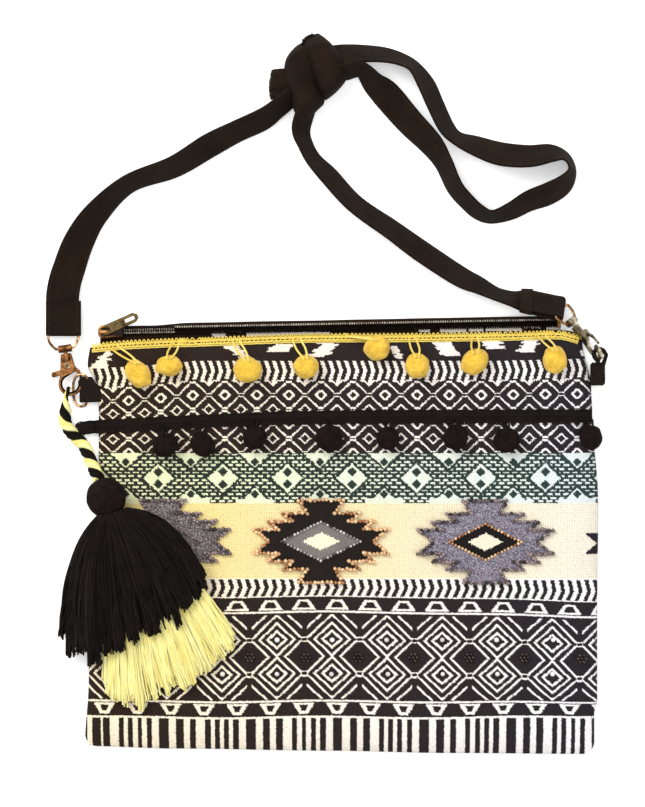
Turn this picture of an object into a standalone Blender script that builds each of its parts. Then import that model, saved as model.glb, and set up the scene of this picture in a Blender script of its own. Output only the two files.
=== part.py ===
# A flat zip-top crossbody pouch of woven cotton, lying on its back with its strap, hooks and tassel.
# Metres. +X runs along the zip to the right, +Y from the bottom edge to the zip, +Z up from the table.
# The origin is the middle of the back panel's flat underside.

import math

import bmesh
import bpy
from mathutils import Matrix, Vector

MM = 0.001
GAP = 0.3 * MM

# Body
BODY_WIDTH = 306 * MM
BODY_HEIGHT = 246.6 * MM
PANEL_THICKNESS = 1.2 * MM
LINING_THICKNESS = 0.5 * MM
INNER_DEPTH = 6.7 * MM
EDGE_ROLL = 24 * MM
TOP_ROLL = 20 * MM
LIP_ROLL = 4 * MM
LINING_INSET = 3 * MM

# How far each edge strays outward from the straight rectangle: (share of the edge's run, stray)
LEFT_STRAY = [(0, 2.4 * MM), (0.17, 0.0), (0.72, -6 * MM), (0.88, -6 * MM), (0.94, 0.6 * MM), (1, -1.2 * MM)]
RIGHT_STRAY = [(0, -1.8 * MM), (0.09, -1.8 * MM), (0.12, 0.0), (0.34, 0.0), (0.61, 0.6 * MM),
               (0.82, -3 * MM), (0.88, -3.6 * MM), (1, -9 * MM)]
BOTTOM_STRAY = [(0, -2.4 * MM), (0.17, -0.9 * MM), (0.47, 0.4 * MM), (0.71, 1.8 * MM), (1, 2.4 * MM)]
TOP_STRAY = [(0, -4.5 * MM), (0.1, -1 * MM), (0.2, 0.8 * MM), (0.48, 3.3 * MM), (0.8, 4 * MM),
             (0.93, 6 * MM), (1, 2 * MM)]

# Zip
CHAIN_START_X = -BODY_WIDTH / 2 + 7 * MM
CHAIN_END_X = BODY_WIDTH / 2 - 22 * MM
CHAIN_ABOVE_BODY = 7.8 * MM
CHAIN_SLOPE = 0.0194
TAPE_THICKNESS = 0.5 * MM
TAPE_EDGE = 0.5 * MM
BACK_TAPE_REACH = 3.4 * MM
COIL_WIDTH = 2.2 * MM
COIL_HEIGHT = 1.8 * MM
STOP_LENGTH = 2.4 * MM
SLIDER_LENGTH = 15 * MM
SLIDER_PLATE = 1.2 * MM
SLIDER_BASE = 0.6 * MM
SLIDER_FLANGE = 0.6 * MM
SLIDER_BLADE = 0.5 * MM
PULL_LENGTH = 23.6 * MM
PULL_WIDTH = 6 * MM
PULL_THICKNESS = 1.2 * MM
PULL_BAR_RADIUS = 0.7 * MM
PULL_ANGLE = math.radians(24)
BRIDGE_WIDTH = 1.6 * MM
BRIDGE_WALL = 1 * MM

# Braids and pompoms; a place is (share of the way from the middle to the side, mm from the top line)
BRAID_THICKNESS = 1.2 * MM
YELLOW_BRAID_WIDTH = 5.4 * MM
BLACK_BRAID_WIDTH = 6 * MM
POMPOM_HEIGHT = 12 * MM
YELLOW_POMPOM_RADIUS = 8.2 * MM
BLACK_POMPOM_RADIUS = 7.8 * MM
YELLOW_BRAID_ROUTE = [(-0.984, -6.7), (-0.855, -3.7), (-0.663, -1.7), (-0.561, -1.3), (-0.169, 0.9),
                      (0.224, 1.3), (0.616, 2.1), (0.824, 3.1), (0.892, -0.3)]
BLACK_BRAID_ROUTE = [(-1.027, -53.7), (-0.973, -52.2), (-0.392, -47.7), (0, -46.2), (0.471, -45.9),
                     (0.976, -45.6)]
YELLOW_POMPOMS = [(-0.8, -20.4), (-0.68, -15.6), (-0.373, -18), (-0.145, -16.2), (0.133, -4.8),
                  (0.29, -15.6), (0.514, -13.2), (0.827, -12)]
POMPOM_ON_BRAID = 4
LIFT_BY_BRAID = 0.5 * MM
BLACK_POMPOMS = [(-0.694, -63), (-0.549, -62.4), (-0.345, -58.2), (-0.055, -58.8), (0.176, -58.8),
                 (0.439, -58.2), (0.639, -60), (0.969, -58.2)]

# Beaded medallions: a quarter of the toothed outline, as (half-width, distance from the centre line)
MEDALLION_TEETH = [(31.8, 0.8), (40.2, 7.2), (25.2, 7.2), (31.8, 12), (16.8, 12), (22.8, 16.8), (8.4, 16.8),
                   (13.2, 24.6)]
MEDALLION_CENTRES = [(-108, 2.7), (-13.2, 2.7), (85.2, 2.3)]
MEDALLION_THICKNESS = 0.9 * MM
BEAD_RADIUS = 1.1 * MM
FLOWER_ROW = [(-55.8, -67), (-22.2, -67), (9, -67), (42, -67), (75.6, -67), (108.6, -67), (143, -67.6)]
FLOWER_RADIUS = 3.4 * MM
FLOWER_HEIGHT = 2 * MM

# Hooks, rings and tabs
WIRE_RADIUS = 0.9 * MM
HOOK_THICKNESS = 2.4 * MM
BOW_OUTER = 7.2 * MM
BOW_WIRE = 2.4 * MM
BOW_CENTRE_Y = -21.5 * MM
PIVOT_Y = -10.3 * MM
PIN_RADIUS = 1.2 * MM
PIN_HEAD_RADIUS = 1.9 * MM
PIN_HEAD = 0.6 * MM
GATE_THICKNESS = 1.5 * MM
BARREL_LENGTH = 8 * MM
BARREL_RADIUS = 2.3 * MM
STEM_RADIUS = 1.2 * MM
STEM_DEPTH = 3 * MM
NECK_TOP_Y = -3.2 * MM
RING_HALF_WIDTH = 10 * MM
RING_HEIGHT = 10 * MM
LEFT_CORNER = Vector((-BODY_WIDTH / 2, BODY_HEIGHT / 2, 0))
RIGHT_CORNER = Vector((BODY_WIDTH / 2, BODY_HEIGHT / 2, 0))
LEFT_HOOK_PLACE = LEFT_CORNER + Vector((-14, -5.1, 4.6)) * MM
LEFT_HOOK_TURN = math.radians(8.5)
RIGHT_HOOK_PLACE = RIGHT_CORNER + Vector((-16.2, 10.8, 10.5)) * MM
RIGHT_HOOK_TURN = math.radians(39)
RIGHT_HOOK_DIP = math.radians(-3.6)
RIGHT_HOOK_ROLL = math.radians(-75)
RIGHT_RING_ROLL = math.radians(52)

# Strap
STRAP_WIDTH = 20 * MM
STRAP_THICKNESS = 1.8 * MM
STRAP_END_THICKNESS = 4.6 * MM
STRAP_END_LENGTH = 21 * MM
KNOT_HEIGHT = 21 * MM

# Routes as (x, y, width seen from above, height off the table), in millimetres; the ribbon rolls
# to show that width, and lies on the table where no height is told.
LEFT_RUN = [(-168.5, 146.7, 19.6, 1.9), (-168.4, 151, 19.6, 1.5), (-167.2, 158, 19.4, 0.8),
            (-165, 165.3, 19), (-158.4, 182.7, 17), (-147.6, 199.5, 13),
            (-128.4, 216.9, 9), (-101.4, 227.1, 11), (-80.4, 239.7, 12.5), (-64.2, 248.1, 11),
            (-48.6, 255.3, 11), (-40.2, 261.3, 9.5), (-30, 270, 9.5)]
RIGHT_RUN = [(-22, 262, 10), (-25.2, 249.3, 10), (-22.2, 239.7, 8.5), (-17.4, 231.3, 9), (-8.4, 221.7, 11),
             (7.2, 204.9, 11), (29.4, 189.3, 12), (46.8, 176.7, 13), (69.6, 161.7, 12.5), (81, 156.3, 10.5),
             (91.8, 150.9, 8), (101, 148, 9), (106, 147, 11.5), (111.6, 146.3, 12.8, 1.6)]
LOOP_RUN = [(-6, 283, 7), (1.8, 283.8, 7), (10.8, 285.3, 7), (18.6, 276.9, 12), (26.4, 270, 16),
            (39.6, 254.7, 15), (52.8, 240.9, 12.5), (60.3, 229.5, 9), (66.9, 215.1, 8), (74.4, 206.1, 7.5),
            (81.6, 199.8, 7), (89.4, 197.1, 6), (100.8, 200.7, 9), (111.6, 206.7, 11), (123.6, 211.2, 12),
            (133, 217, 10), (137.4, 225.3, 5), (133.6, 233.1, 6), (124.9, 235.3, 11), (111.6, 233.6, 13.5),
            (94.8, 234.9, 14.5), (79.5, 239.7, 12.5), (68.4, 244.2, 9), (61.8, 251.1, 10), (55.2, 264.9, 10.5),
            (49.8, 276.9, 10.5), (42.9, 286.8, 8), (35.4, 291.3, 8.5), (24.6, 294.5, 9.5), (10.2, 296, 9.5),
            (0, 297.2, 9), (-8, 297.5, 9)]
KNOT_CENTRE = (-21, 279.3)
KNOT_OUTLINE = [(-19.2, 307.5), (-14.7, 306.6), (-10.2, 302.7), (-4.8, 296.7), (0.3, 289.5), (0.9, 285.9),
                (0.3, 279.9), (-5.4, 273.3), (-11.4, 267.6), (-12, 264.3), (-13.8, 261.9), (-24, 253.5),
                (-28.2, 256.5), (-33, 260.1), (-37.2, 265.5), (-43.5, 269.4), (-42.4, 278), (-41.4, 286.5),
                (-35.4, 285.9), (-34.8, 288.3), (-30.3, 294.6), (-27, 300.6), (-22.5, 305.7)]

# Tassel
CORD_RADIUS = 4.1 * MM
LOOP_RADIUS = 1.2 * MM
CORD_ROUTE = [(-166.8, 81.3, 4.8), (-166.8, 73.5, 4.6), (-161.4, 65.7, 4.7), (-155.4, 59.7, 6.4),
              (-151.8, 51.9, 9.5), (-148.6, 45.3, 13.5), (-145.4, 38.6, 18)]
LOOP_ANGLE = math.radians(243)
BALL_PLACE = Vector((-141, 29.1, 24)) * MM
BALL_RADIUS = 12.4 * MM
BALL_FLATNESS = 0.84
SKIRT_NECK = (-136.5, 20)
BLACK_SKIRT = [(-128.5, 24.5), (-118, 24), (-104.4, 13.5), (-95.4, 2.1), (-84, -15.9), (-83.4, -21.9),
               (-87, -27.3), (-93.6, -40.5), (-99.6, -46.5), (-111.6, -51.3), (-122.4, -50.7), (-127.8, -60.9),
               (-140.4, -64.5), (-151.2, -68.7), (-167.4, -62.1), (-171, -54.9), (-168.6, -21.9),
               (-161.4, 3.9), (-147, 17.7)]
YELLOW_SKIRT = [(-122, 14), (-100, -5), (-78, -28.5), (-73.8, -31.5), (-67.8, -45.3), (-63, -54.3),
                (-69, -64.5), (-84, -75.3), (-100.2, -85.5), (-117.6, -92.7), (-119.4, -98.1), (-130.8, -95.1),
                (-136.8, -86.7), (-140.4, -74.1), (-141.6, -62.7), (-141.6, -36.3), (-141, 5)]


def share_between(stops, share):
    """Value at a share of a run, eased smoothly between its stops."""
    for (s0, v0), (s1, v1) in zip(stops, stops[1:]):
        if share <= s1:
            t = max(0.0, (share - s0) / (s1 - s0))
            return v0 + (v1 - v0) * (3 * t * t - 2 * t ** 3)
    return stops[-1][1]


def left_edge(y):
    return -BODY_WIDTH / 2 - share_between(LEFT_STRAY, y / BODY_HEIGHT + 0.5)


def right_edge(y):
    return BODY_WIDTH / 2 + share_between(RIGHT_STRAY, y / BODY_HEIGHT + 0.5)


def bottom_edge(x):
    return -BODY_HEIGHT / 2 - share_between(BOTTOM_STRAY, x / BODY_WIDTH + 0.5)


def top_edge(x):
    return BODY_HEIGHT / 2 + share_between(TOP_STRAY, x / BODY_WIDTH + 0.5)


def chain_line(x):
    """Centre of the zip's chain at x; it climbs a little to the right."""
    return BODY_HEIGHT / 2 + CHAIN_ABOVE_BODY + CHAIN_SLOPE * x


# Heights of the layers, from the table up
BACK_LINING_Z = PANEL_THICKNESS + GAP
INSIDE_FLOOR = BACK_LINING_Z + LINING_THICKNESS
FRONT_LINING_Z = INSIDE_FLOOR + INNER_DEPTH + GAP
FRONT_FLAT_Z = FRONT_LINING_Z + LINING_THICKNESS + GAP
SEAM_Z = PANEL_THICKNESS + GAP
TAPE_Z = INSIDE_FLOOR + SLIDER_BASE + 2 * GAP
COIL_Z = TAPE_Z + TAPE_THICKNESS + GAP
PANEL_TOP_EDGE_Z = COIL_Z
TAPE_RUN_Z = BACK_LINING_Z
COIL_OUTER = TAPE_EDGE + COIL_WIDTH
PULL_X = CHAIN_START_X + 1.4 * MM
PLATE_Z = COIL_Z + COIL_HEIGHT + GAP
PULL_BAR_Z = PLATE_Z + SLIDER_PLATE + GAP + PULL_BAR_RADIUS


def round_rise(distance, reach):
    """0 at an edge, 1 past its reach, rising as a quarter ellipse."""
    t = min(max(distance / reach, 0.0), 1.0)
    return math.sqrt(1 - (1 - t) ** 2)


def side_rise(x, y, inset, reach):
    return (round_rise(x - left_edge(y) - inset, reach) * round_rise(right_edge(y) - x - inset, reach)
            * round_rise(y - bottom_edge(x) - inset, reach))


def front_underside(x, y):
    """Underside of the front panel."""
    top_rise = round_rise(top_edge(x) - y, TOP_ROLL)
    lip = (PANEL_TOP_EDGE_Z - SEAM_Z) * side_rise(x, y, 0, LIP_ROLL) * (1 - top_rise)
    return SEAM_Z + (FRONT_FLAT_Z - SEAM_Z) * side_rise(x, y, 0, EDGE_ROLL) * top_rise + lip


def front_surface(x, y):
    """Outer face of the front panel; outside its outline, the height of its nearest edge."""
    x = min(max(x, left_edge(y)), right_edge(y))
    y = min(max(y, bottom_edge(x)), top_edge(x))
    return front_underside(x, y) + PANEL_THICKNESS


def cover_height(x, y, reach):
    """Highest point of the front panel within a reach of a place."""
    around = [(x + dx * reach, y + dy * reach) for dx in (-1, 0, 1) for dy in (-1, 0, 1)]
    return max(front_surface(px, py) for px, py in around)


def lining_underside(x, y):
    """Underside of the front lining, which ends inside the seams."""
    top_rise = round_rise(top_edge(x) - y - LINING_INSET, EDGE_ROLL)
    rise = side_rise(x, y, LINING_INSET, EDGE_ROLL) * top_rise
    return INSIDE_FLOOR + GAP + (FRONT_LINING_Z - INSIDE_FLOOR - GAP) * rise


def material(name, color, roughness, metallic=0.0):
    found = bpy.data.materials.get(name)
    if found:
        return found
    made = bpy.data.materials.new(name)
    made.use_nodes = True
    shader = made.node_tree.nodes["Principled BSDF"]
    shader.inputs["Base Color"].default_value = (*color, 1)
    shader.inputs["Roughness"].default_value = roughness
    shader.inputs["Metallic"].default_value = metallic
    made.diffuse_color = (*color, 1)
    return made


def add_mesh(name, verts, faces, coat, smooth=True):
    """An object from points and faces, with its faces turned outward."""
    mesh = bpy.data.meshes.new(name)
    mesh.from_pydata([tuple(v) for v in verts], [], faces)
    edit = bmesh.new()
    edit.from_mesh(mesh)
    bmesh.ops.recalc_face_normals(edit, faces=edit.faces)
    edit.to_mesh(mesh)
    edit.free()
    if smooth:
        mesh.shade_smooth()
        mesh.set_sharp_from_angle(angle=math.radians(35))
    item = bpy.data.objects.new(name, mesh)
    bpy.context.scene.collection.objects.link(item)
    item.data.materials.append(coat)
    return item


def sheet(name, rows, thickness, coat):
    """A closed sheet over a grid of underside points, as thick as told in +Z."""
    lift = Vector((0, 0, thickness))
    return slab(name, rows, [[p + lift for p in row] for row in rows], coat)


def slab(name, low, high, coat):
    """A closed solid between two grids of points of the same size."""
    count, width = len(low), len(low[0])
    verts = [p for row in low for p in row] + [p for row in high for p in row]
    top = count * width
    faces = []
    for i in range(count - 1):
        for j in range(width - 1):
            a = i * width + j
            faces.append((a, a + 1, a + width + 1, a + width))
            faces.append((top + a, top + a + width, top + a + width + 1, top + a + 1))
    rim = ([(0, j) for j in range(width)] + [(i, width - 1) for i in range(1, count)]
           + [(count - 1, j) for j in range(width - 2, -1, -1)] + [(i, 0) for i in range(count - 2, 0, -1)])
    for (i0, j0), (i1, j1) in zip(rim, rim[1:] + rim[:1]):
        a, b = i0 * width + j0, i1 * width + j1
        faces.append((a, b, top + b, top + a))
    return add_mesh(name, verts, faces, coat)


def prism(name, outline, low, high, coat, bevel=0.0):
    """An outline in the XY plane, extruded from one height to another."""
    count = len(outline)
    verts = [Vector((x, y, low)) for x, y in outline] + [Vector((x, y, high)) for x, y in outline]
    faces = [tuple(range(count)), tuple(range(count, 2 * count))]
    faces += [(i, (i + 1) % count, count + (i + 1) % count, count + i) for i in range(count)]
    item = add_mesh(name, verts, faces, coat, smooth=False)
    if bevel:
        edges = item.modifiers.new("Edges", "BEVEL")
        edges.width = bevel
        edges.segments = 1
        edges.limit_method = "ANGLE"
        edges.angle_limit = math.radians(60)
    return item


def box(name, low, high, coat, bevel=0.0):
    outline = [(low[0], low[1]), (high[0], low[1]), (high[0], high[1]), (low[0], high[1])]
    return prism(name, outline, low[2], high[2], coat, bevel)


def rod(name, start, end, radius, coat, sides=16):
    """A round bar between two points."""
    axis = end - start
    edit = bmesh.new()
    bmesh.ops.create_cone(edit, cap_ends=True, segments=sides, radius1=radius, radius2=radius, depth=axis.length)
    mesh = bpy.data.meshes.new(name)
    edit.to_mesh(mesh)
    edit.free()
    turn = axis.to_track_quat("Z", "Y").to_matrix().to_4x4()
    mesh.transform(Matrix.Translation((start + end) / 2) @ turn)
    mesh.shade_smooth()
    mesh.set_sharp_from_angle(angle=math.radians(35))
    item = bpy.data.objects.new(name, mesh)
    bpy.context.scene.collection.objects.link(item)
    item.data.materials.append(coat)
    return item


def tube(name, points, radius, coat, closed=False, sides=2, radii=None):
    """A round wire or cord through points."""
    curve = bpy.data.curves.new(name, "CURVE")
    curve.dimensions = "3D"
    curve.bevel_depth = radius
    curve.bevel_resolution = sides
    curve.use_fill_caps = not closed
    line = curve.splines.new("POLY")
    line.points.add(len(points) - 1)
    for i, point in enumerate(points):
        line.points[i].co = (*point, 1)
        line.points[i].radius = radii[i] if radii else 1.0
    line.use_cyclic_u = closed
    item = bpy.data.objects.new(name, curve)
    bpy.context.scene.collection.objects.link(item)
    item.data.materials.append(coat)
    return item


def as_mesh(item):
    """Turns a curve, or a mesh with modifiers, into a plain mesh."""
    bpy.context.view_layer.update()
    shape = item.evaluated_get(bpy.context.evaluated_depsgraph_get())
    mesh = bpy.data.meshes.new_from_object(shape)
    made = bpy.data.objects.new(item.name, mesh)
    made.matrix_world = item.matrix_world
    name = item.name
    bpy.data.objects.remove(item)
    made.name = name
    bpy.context.scene.collection.objects.link(made)
    return made


def combine(item, other, operation):
    """Joins another shape to an item, or cuts it away, and drops the other."""
    if other.type == "CURVE":
        other = as_mesh(other)
    step = item.modifiers.new("Combine", "BOOLEAN")
    step.operation = operation
    step.solver = "EXACT"
    step.object = other
    made = as_mesh(item)
    bpy.data.objects.remove(other)
    return made


def join(item, *others):
    for other in others:
        item = combine(item, other, "UNION")
    return item


def cut(item, *others):
    for other in others:
        item = combine(item, other, "DIFFERENCE")
    return item


def smooth_route(points, step):
    """Points about a step apart on a smooth curve through the given vectors."""
    ends = [2 * points[0] - points[1]] + list(points) + [2 * points[-1] - points[-2]]
    route = []
    for p0, p1, p2, p3 in zip(ends, ends[1:], ends[2:], ends[3:]):
        count = max(1, round((p2 - p1).length / step))
        for i in range(count):
            t = i / count
            route.append(0.5 * (2 * p1 + (p2 - p0) * t + (2 * p0 - 5 * p1 + 4 * p2 - p3) * t * t
                                + (3 * p1 - p0 - 3 * p2 + p3) * t ** 3))
    route.append(points[-1].copy())
    return route


def steps_from_edges(length, reach):
    """Grid shares across a panel: close together at its rolled edges, wide apart on its flat."""
    near = [reach * s for s in (0, 0.03, 0.12, 0.28, 0.5, 0.74, 1.0)]
    middle = [reach + (length - 2 * reach) * k / 6 for k in range(1, 6)]
    return [d / length for d in near + middle + [length - d for d in reversed(near)]]


def body_grid(inset, top_inset, height):
    """Points over the body's outline, taken in by an inset, at a height that depends on the place."""
    rows = []
    for v in steps_from_edges(BODY_HEIGHT, EDGE_ROLL):
        row = []
        for u in steps_from_edges(BODY_WIDTH, EDGE_ROLL):
            y = (v - 0.5) * BODY_HEIGHT
            for _ in range(4):
                low_x, high_x = left_edge(y) + inset, right_edge(y) - inset
                x = low_x + (high_x - low_x) * u
                low_y, high_y = bottom_edge(x) + inset, top_edge(x) - top_inset
                y = low_y + (high_y - low_y) * v
            row.append(Vector((x, y, height(x, y))))
        rows.append(row)
    return rows


def flower(name, x, y, base):
    """A flower of six beads round a seventh, as one low lobed dome."""
    petals = 6
    rings = [(1.0, 0.0), (0.92, 0.6), (0.5, 1.0)]
    verts = [Vector((x, y, base - GAP)), Vector((x, y, base + FLOWER_HEIGHT * 0.8))]
    faces = []
    count = petals * 4
    for share, lift in rings:
        for k in range(count):
            angle = math.tau * k / count
            radius = FLOWER_RADIUS * share * (0.82 + 0.18 * math.cos(petals * angle))
            z = base - GAP if lift == 0 else base + FLOWER_HEIGHT * lift
            verts.append(Vector((x + radius * math.cos(angle), y + radius * math.sin(angle), z)))
    for k in range(count):
        n = (k + 1) % count
        faces.append((0, 2 + n, 2 + k))
        for r in range(len(rings) - 1):
            a = 2 + r * count
            faces.append((a + k, a + n, a + count + n, a + count + k))
        last = 2 + (len(rings) - 1) * count
        faces.append((last + k, last + n, 1))
    return add_mesh(name, verts, faces, WOVEN)


def front_panel():
    panel = sheet("front_panel", body_grid(0, 0, front_underside), PANEL_THICKNESS, WOVEN)
    for k, (x, y) in enumerate(FLOWER_ROW):
        if right_edge(y * MM) - x * MM > EDGE_ROLL:
            panel = join(panel, flower(f"flower_{k}", x * MM, y * MM, FRONT_FLAT_Z + PANEL_THICKNESS))
    return panel


def body_outline(inset, top_inset, count=14):
    """The body's outline, taken in by an inset, as far as told at the top."""
    shares = [k / count for k in range(count + 1)]
    ys = [(share - 0.5) * (BODY_HEIGHT - 2 * inset) for share in shares]
    xs = [(share - 0.5) * (BODY_WIDTH - 2 * inset - EDGE_ROLL) for share in shares]
    left_ys = [min(y, top_edge(-BODY_WIDTH / 2) - top_inset - 1 * MM) for y in ys]
    return ([(x, bottom_edge(x) + inset) for x in xs] + [(right_edge(y) - inset, y) for y in ys]
            + [(x, top_edge(x) - top_inset) for x in reversed(xs)]
            + [(left_edge(y) + inset, y) for y in reversed(left_ys)])


def back_panel():
    return prism("back_panel", body_outline(0, -BACK_TAPE_REACH), 0, PANEL_THICKNESS, PLAIN_CLOTH)


def linings():
    sheet("front_lining", body_grid(LINING_INSET, LINING_INSET, lining_underside), LINING_THICKNESS, LINING)
    prism("back_lining", body_outline(LINING_INSET, LINING_INSET), BACK_LINING_Z, INSIDE_FLOOR, LINING)


def chain_steps(count=24):
    return [CHAIN_START_X + (CHAIN_END_X - CHAIN_START_X) * k / count for k in range(count + 1)]


def zip_tapes():
    """The front tape meets the front panel's top edge; the back tape folds down to the back panel."""
    front = [[Vector((x, top_edge(x) + GAP, TAPE_Z)), Vector((x, chain_line(x) - TAPE_EDGE, TAPE_Z))]
             for x in chain_steps()]
    sheet("front_zip_tape", front, TAPE_THICKNESS, TAPE)
    half = TAPE_THICKNESS / 2
    middle = (TAPE_Z + TAPE_RUN_Z) / 2 + half
    fold = (TAPE_Z - TAPE_RUN_Z) / 2
    arc = [(BACK_TAPE_REACH + fold * math.cos(a), middle + fold * math.sin(a))
           for a in (math.radians(d) for d in (90, 45, 0, -45, -90))]
    outer, inner = [], []
    for x in chain_steps():
        y = chain_line(x)
        lower_end = top_edge(x) - LINING_INSET + 1 * MM - y
        profile = [(TAPE_EDGE, TAPE_Z + half)] + arc + [(lower_end, TAPE_RUN_Z + half)]
        around = [Vector((0, 1))] + [Vector((math.cos(math.radians(d)), math.sin(math.radians(d))))
                                     for d in (90, 45, 0, -45, -90)] + [Vector((0, -1))]
        outer.append([Vector((x, y + p[0] + half * n[0], p[1] + half * n[1])) for p, n in zip(profile, around)])
        inner.append([Vector((x, y + p[0] - half * n[0], p[1] - half * n[1])) for p, n in zip(profile, around)])
    for rows, sign in ((outer, 1), (inner, -1)):
        for row in rows:
            row[0].z = TAPE_Z + half + sign * half
            row[0].y = chain_line(row[0].x) + TAPE_EDGE
    slab("back_zip_tape", inner, outer, TAPE)


def chain_box(name, along, across, heights, coat, bevel=0.0):
    """A box laid along the chain: its ends in x, its sides measured across the chain."""
    (x0, x1), (y0, y1), (z0, z1) = along, across, heights
    outline = [(x0, chain_line(x0) + y0), (x1, chain_line(x1) + y0),
               (x1, chain_line(x1) + y1), (x0, chain_line(x0) + y1)]
    return prism(name, outline, z0, z1, coat, bevel)


def zip_coils():
    ends = (CHAIN_START_X, CHAIN_END_X - STOP_LENGTH - GAP)
    heights = (COIL_Z, COIL_Z + COIL_HEIGHT)
    chain_box("front_coil", ends, (-COIL_OUTER, -TAPE_EDGE), heights, COIL, 0.3 * MM)
    chain_box("back_coil", ends, (TAPE_EDGE, COIL_OUTER), heights, COIL, 0.3 * MM)
    stop = (CHAIN_END_X - STOP_LENGTH, CHAIN_END_X)
    chain_box("zip_end_stop", stop, (-COIL_OUTER, COIL_OUTER), heights, BRONZE, 0.3 * MM)


def zip_slider():
    """Two plates joined by a blade that runs between the rows of the chain, and a bridge for the pull."""
    start, end = CHAIN_START_X - 1.2 * MM, CHAIN_START_X - 1.2 * MM + SLIDER_LENGTH
    side = COIL_OUTER + GAP
    outer = side + SLIDER_FLANGE
    plate_top = PLATE_Z + SLIDER_PLATE
    base_z = INSIDE_FLOOR + GAP
    plate = chain_box("zip_slider", (start, end), (-outer, outer), (PLATE_Z, plate_top), BRONZE, 0.3 * MM)
    flanges = [chain_box("flange", (start + 1 * MM, end - 1 * MM), (low, low + SLIDER_FLANGE - 0.05 * MM),
                         (COIL_Z, PLATE_Z + SLIDER_PLATE / 2), BRONZE) for low in (-outer + 0.05 * MM, side)]
    base = chain_box("base", (start + 1 * MM, end - 1 * MM), (-outer + 0.5 * MM, outer - 0.5 * MM),
                     (base_z, base_z + SLIDER_BASE), BRONZE)
    blade = chain_box("blade", (start + 2 * MM, start + 6 * MM), (-SLIDER_BLADE / 2, SLIDER_BLADE / 2),
                      (base_z + SLIDER_BASE / 2, PLATE_Z + SLIDER_PLATE / 2), BRONZE)
    inner_half = PULL_BAR_RADIUS + 2 * GAP
    outer_half = inner_half + BRIDGE_WALL
    roof_z = PULL_BAR_Z + PULL_BAR_RADIUS + GAP
    legs = [chain_box("leg", (PULL_X + low, PULL_X + low + BRIDGE_WALL), (-BRIDGE_WIDTH / 2, BRIDGE_WIDTH / 2),
                      (plate_top - 0.4 * MM, roof_z + BRIDGE_WALL / 2), BRONZE)
            for low in (-outer_half, inner_half)]
    roof = chain_box("roof", (PULL_X - outer_half - 0.05 * MM, PULL_X + outer_half + 0.05 * MM),
                     (-BRIDGE_WIDTH / 2 - 0.05 * MM, BRIDGE_WIDTH / 2 + 0.05 * MM),
                     (roof_z, roof_z + BRIDGE_WALL), BRONZE)
    return join(plate, *flanges, base, blade, *legs, roof)


def pull_tab():
    """A stamped pull with a window round the slider's bridge and a slot near its tip."""
    half, inner = PULL_WIDTH / 2, PULL_WIDTH / 2 - 1.1 * MM
    neck = 5.2 * MM
    shoulder = PULL_LENGTH - 2.4 * MM
    outline = [(0, -half + 0.6 * MM), (3 * MM, -half), (shoulder, -half), (PULL_LENGTH, -half + 1.8 * MM),
               (PULL_LENGTH, half - 1.8 * MM), (shoulder, half), (3 * MM, half), (0, half - 0.6 * MM)]
    thick = PULL_THICKNESS / 2
    tab = prism("pull_tab", outline, -thick, thick, PULL, 0.25 * MM)
    window = box("window", (-1 * MM, -inner, -2 * thick), (neck, inner, 2 * thick), PULL)
    slot = box("slot", (shoulder - 6 * MM, -1 * MM, -2 * thick), (shoulder, 1 * MM, 2 * thick), PULL)
    bar = rod("bar", Vector((0, -half + 0.6 * MM, 0)), Vector((0, half - 0.6 * MM, 0)), PULL_BAR_RADIUS, PULL, 12)
    tab = join(cut(tab, window, slot), bar)
    tab.location = (PULL_X, chain_line(PULL_X), PULL_BAR_Z)
    tab.rotation_euler = (0, 0, PULL_ANGLE)
    return tab


def on_panel(place):
    """A braid's or pompom's place on the body."""
    return Vector((place[0] * BODY_WIDTH / 2, BODY_HEIGHT / 2 + place[1] * MM, 0))


def braid(name, route, width, coat):
    """A flat braid that follows the front panel."""
    points = smooth_route([on_panel(spot) for spot in route], 6 * MM)
    rows = []
    for k, point in enumerate(points):
        ahead = points[min(k + 1, len(points) - 1)] - points[max(k - 1, 0)]
        across = Vector((-ahead.y, ahead.x, 0)).normalized() * width / 2
        row = []
        for share in (-1, 0, 1):
            spot = point + across * share
            spot.z = cover_height(spot.x, spot.y, 1.5 * MM) + GAP
            row.append(spot)
        rows.append(row)
    return sheet(name, rows, BRAID_THICKNESS, coat)


def seat_height(x, y, radius, height):
    """Lowest centre height at which a flattened ball clears the front panel."""
    best = 0.0
    for k in range(12):
        for share in (0, 0.35, 0.7, 0.95):
            dx, dy = radius * share * math.cos(math.tau * k / 12), radius * share * math.sin(math.tau * k / 12)
            drop = height / 2 * math.sqrt(1 - share * share)
            best = max(best, front_surface(x + dx, y + dy) + drop)
    return best + GAP


def ball(name, place, radius, height, coat, turns=12, rings=8):
    edit = bmesh.new()
    bmesh.ops.create_uvsphere(edit, u_segments=turns, v_segments=rings, radius=1)
    mesh = bpy.data.meshes.new(name)
    edit.to_mesh(mesh)
    edit.free()
    mesh.transform(Matrix.Diagonal((radius, radius, height / 2, 1)))
    mesh.shade_smooth()
    item = bpy.data.objects.new(name, mesh)
    bpy.context.scene.collection.objects.link(item)
    item.location = place
    item.data.materials.append(coat)
    return item


def pompoms(name, places, radius, coat, raised=None):
    """Balls resting on the cloth; the raised one rests on the braid."""
    for k, place in enumerate(places):
        spot = on_panel(place)
        spot.z = seat_height(spot.x, spot.y, radius, POMPOM_HEIGHT)
        if k == raised:
            spot.z += LIFT_BY_BRAID
        ball(f"{name}_{k + 1}", spot, radius, POMPOM_HEIGHT, coat)


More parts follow.
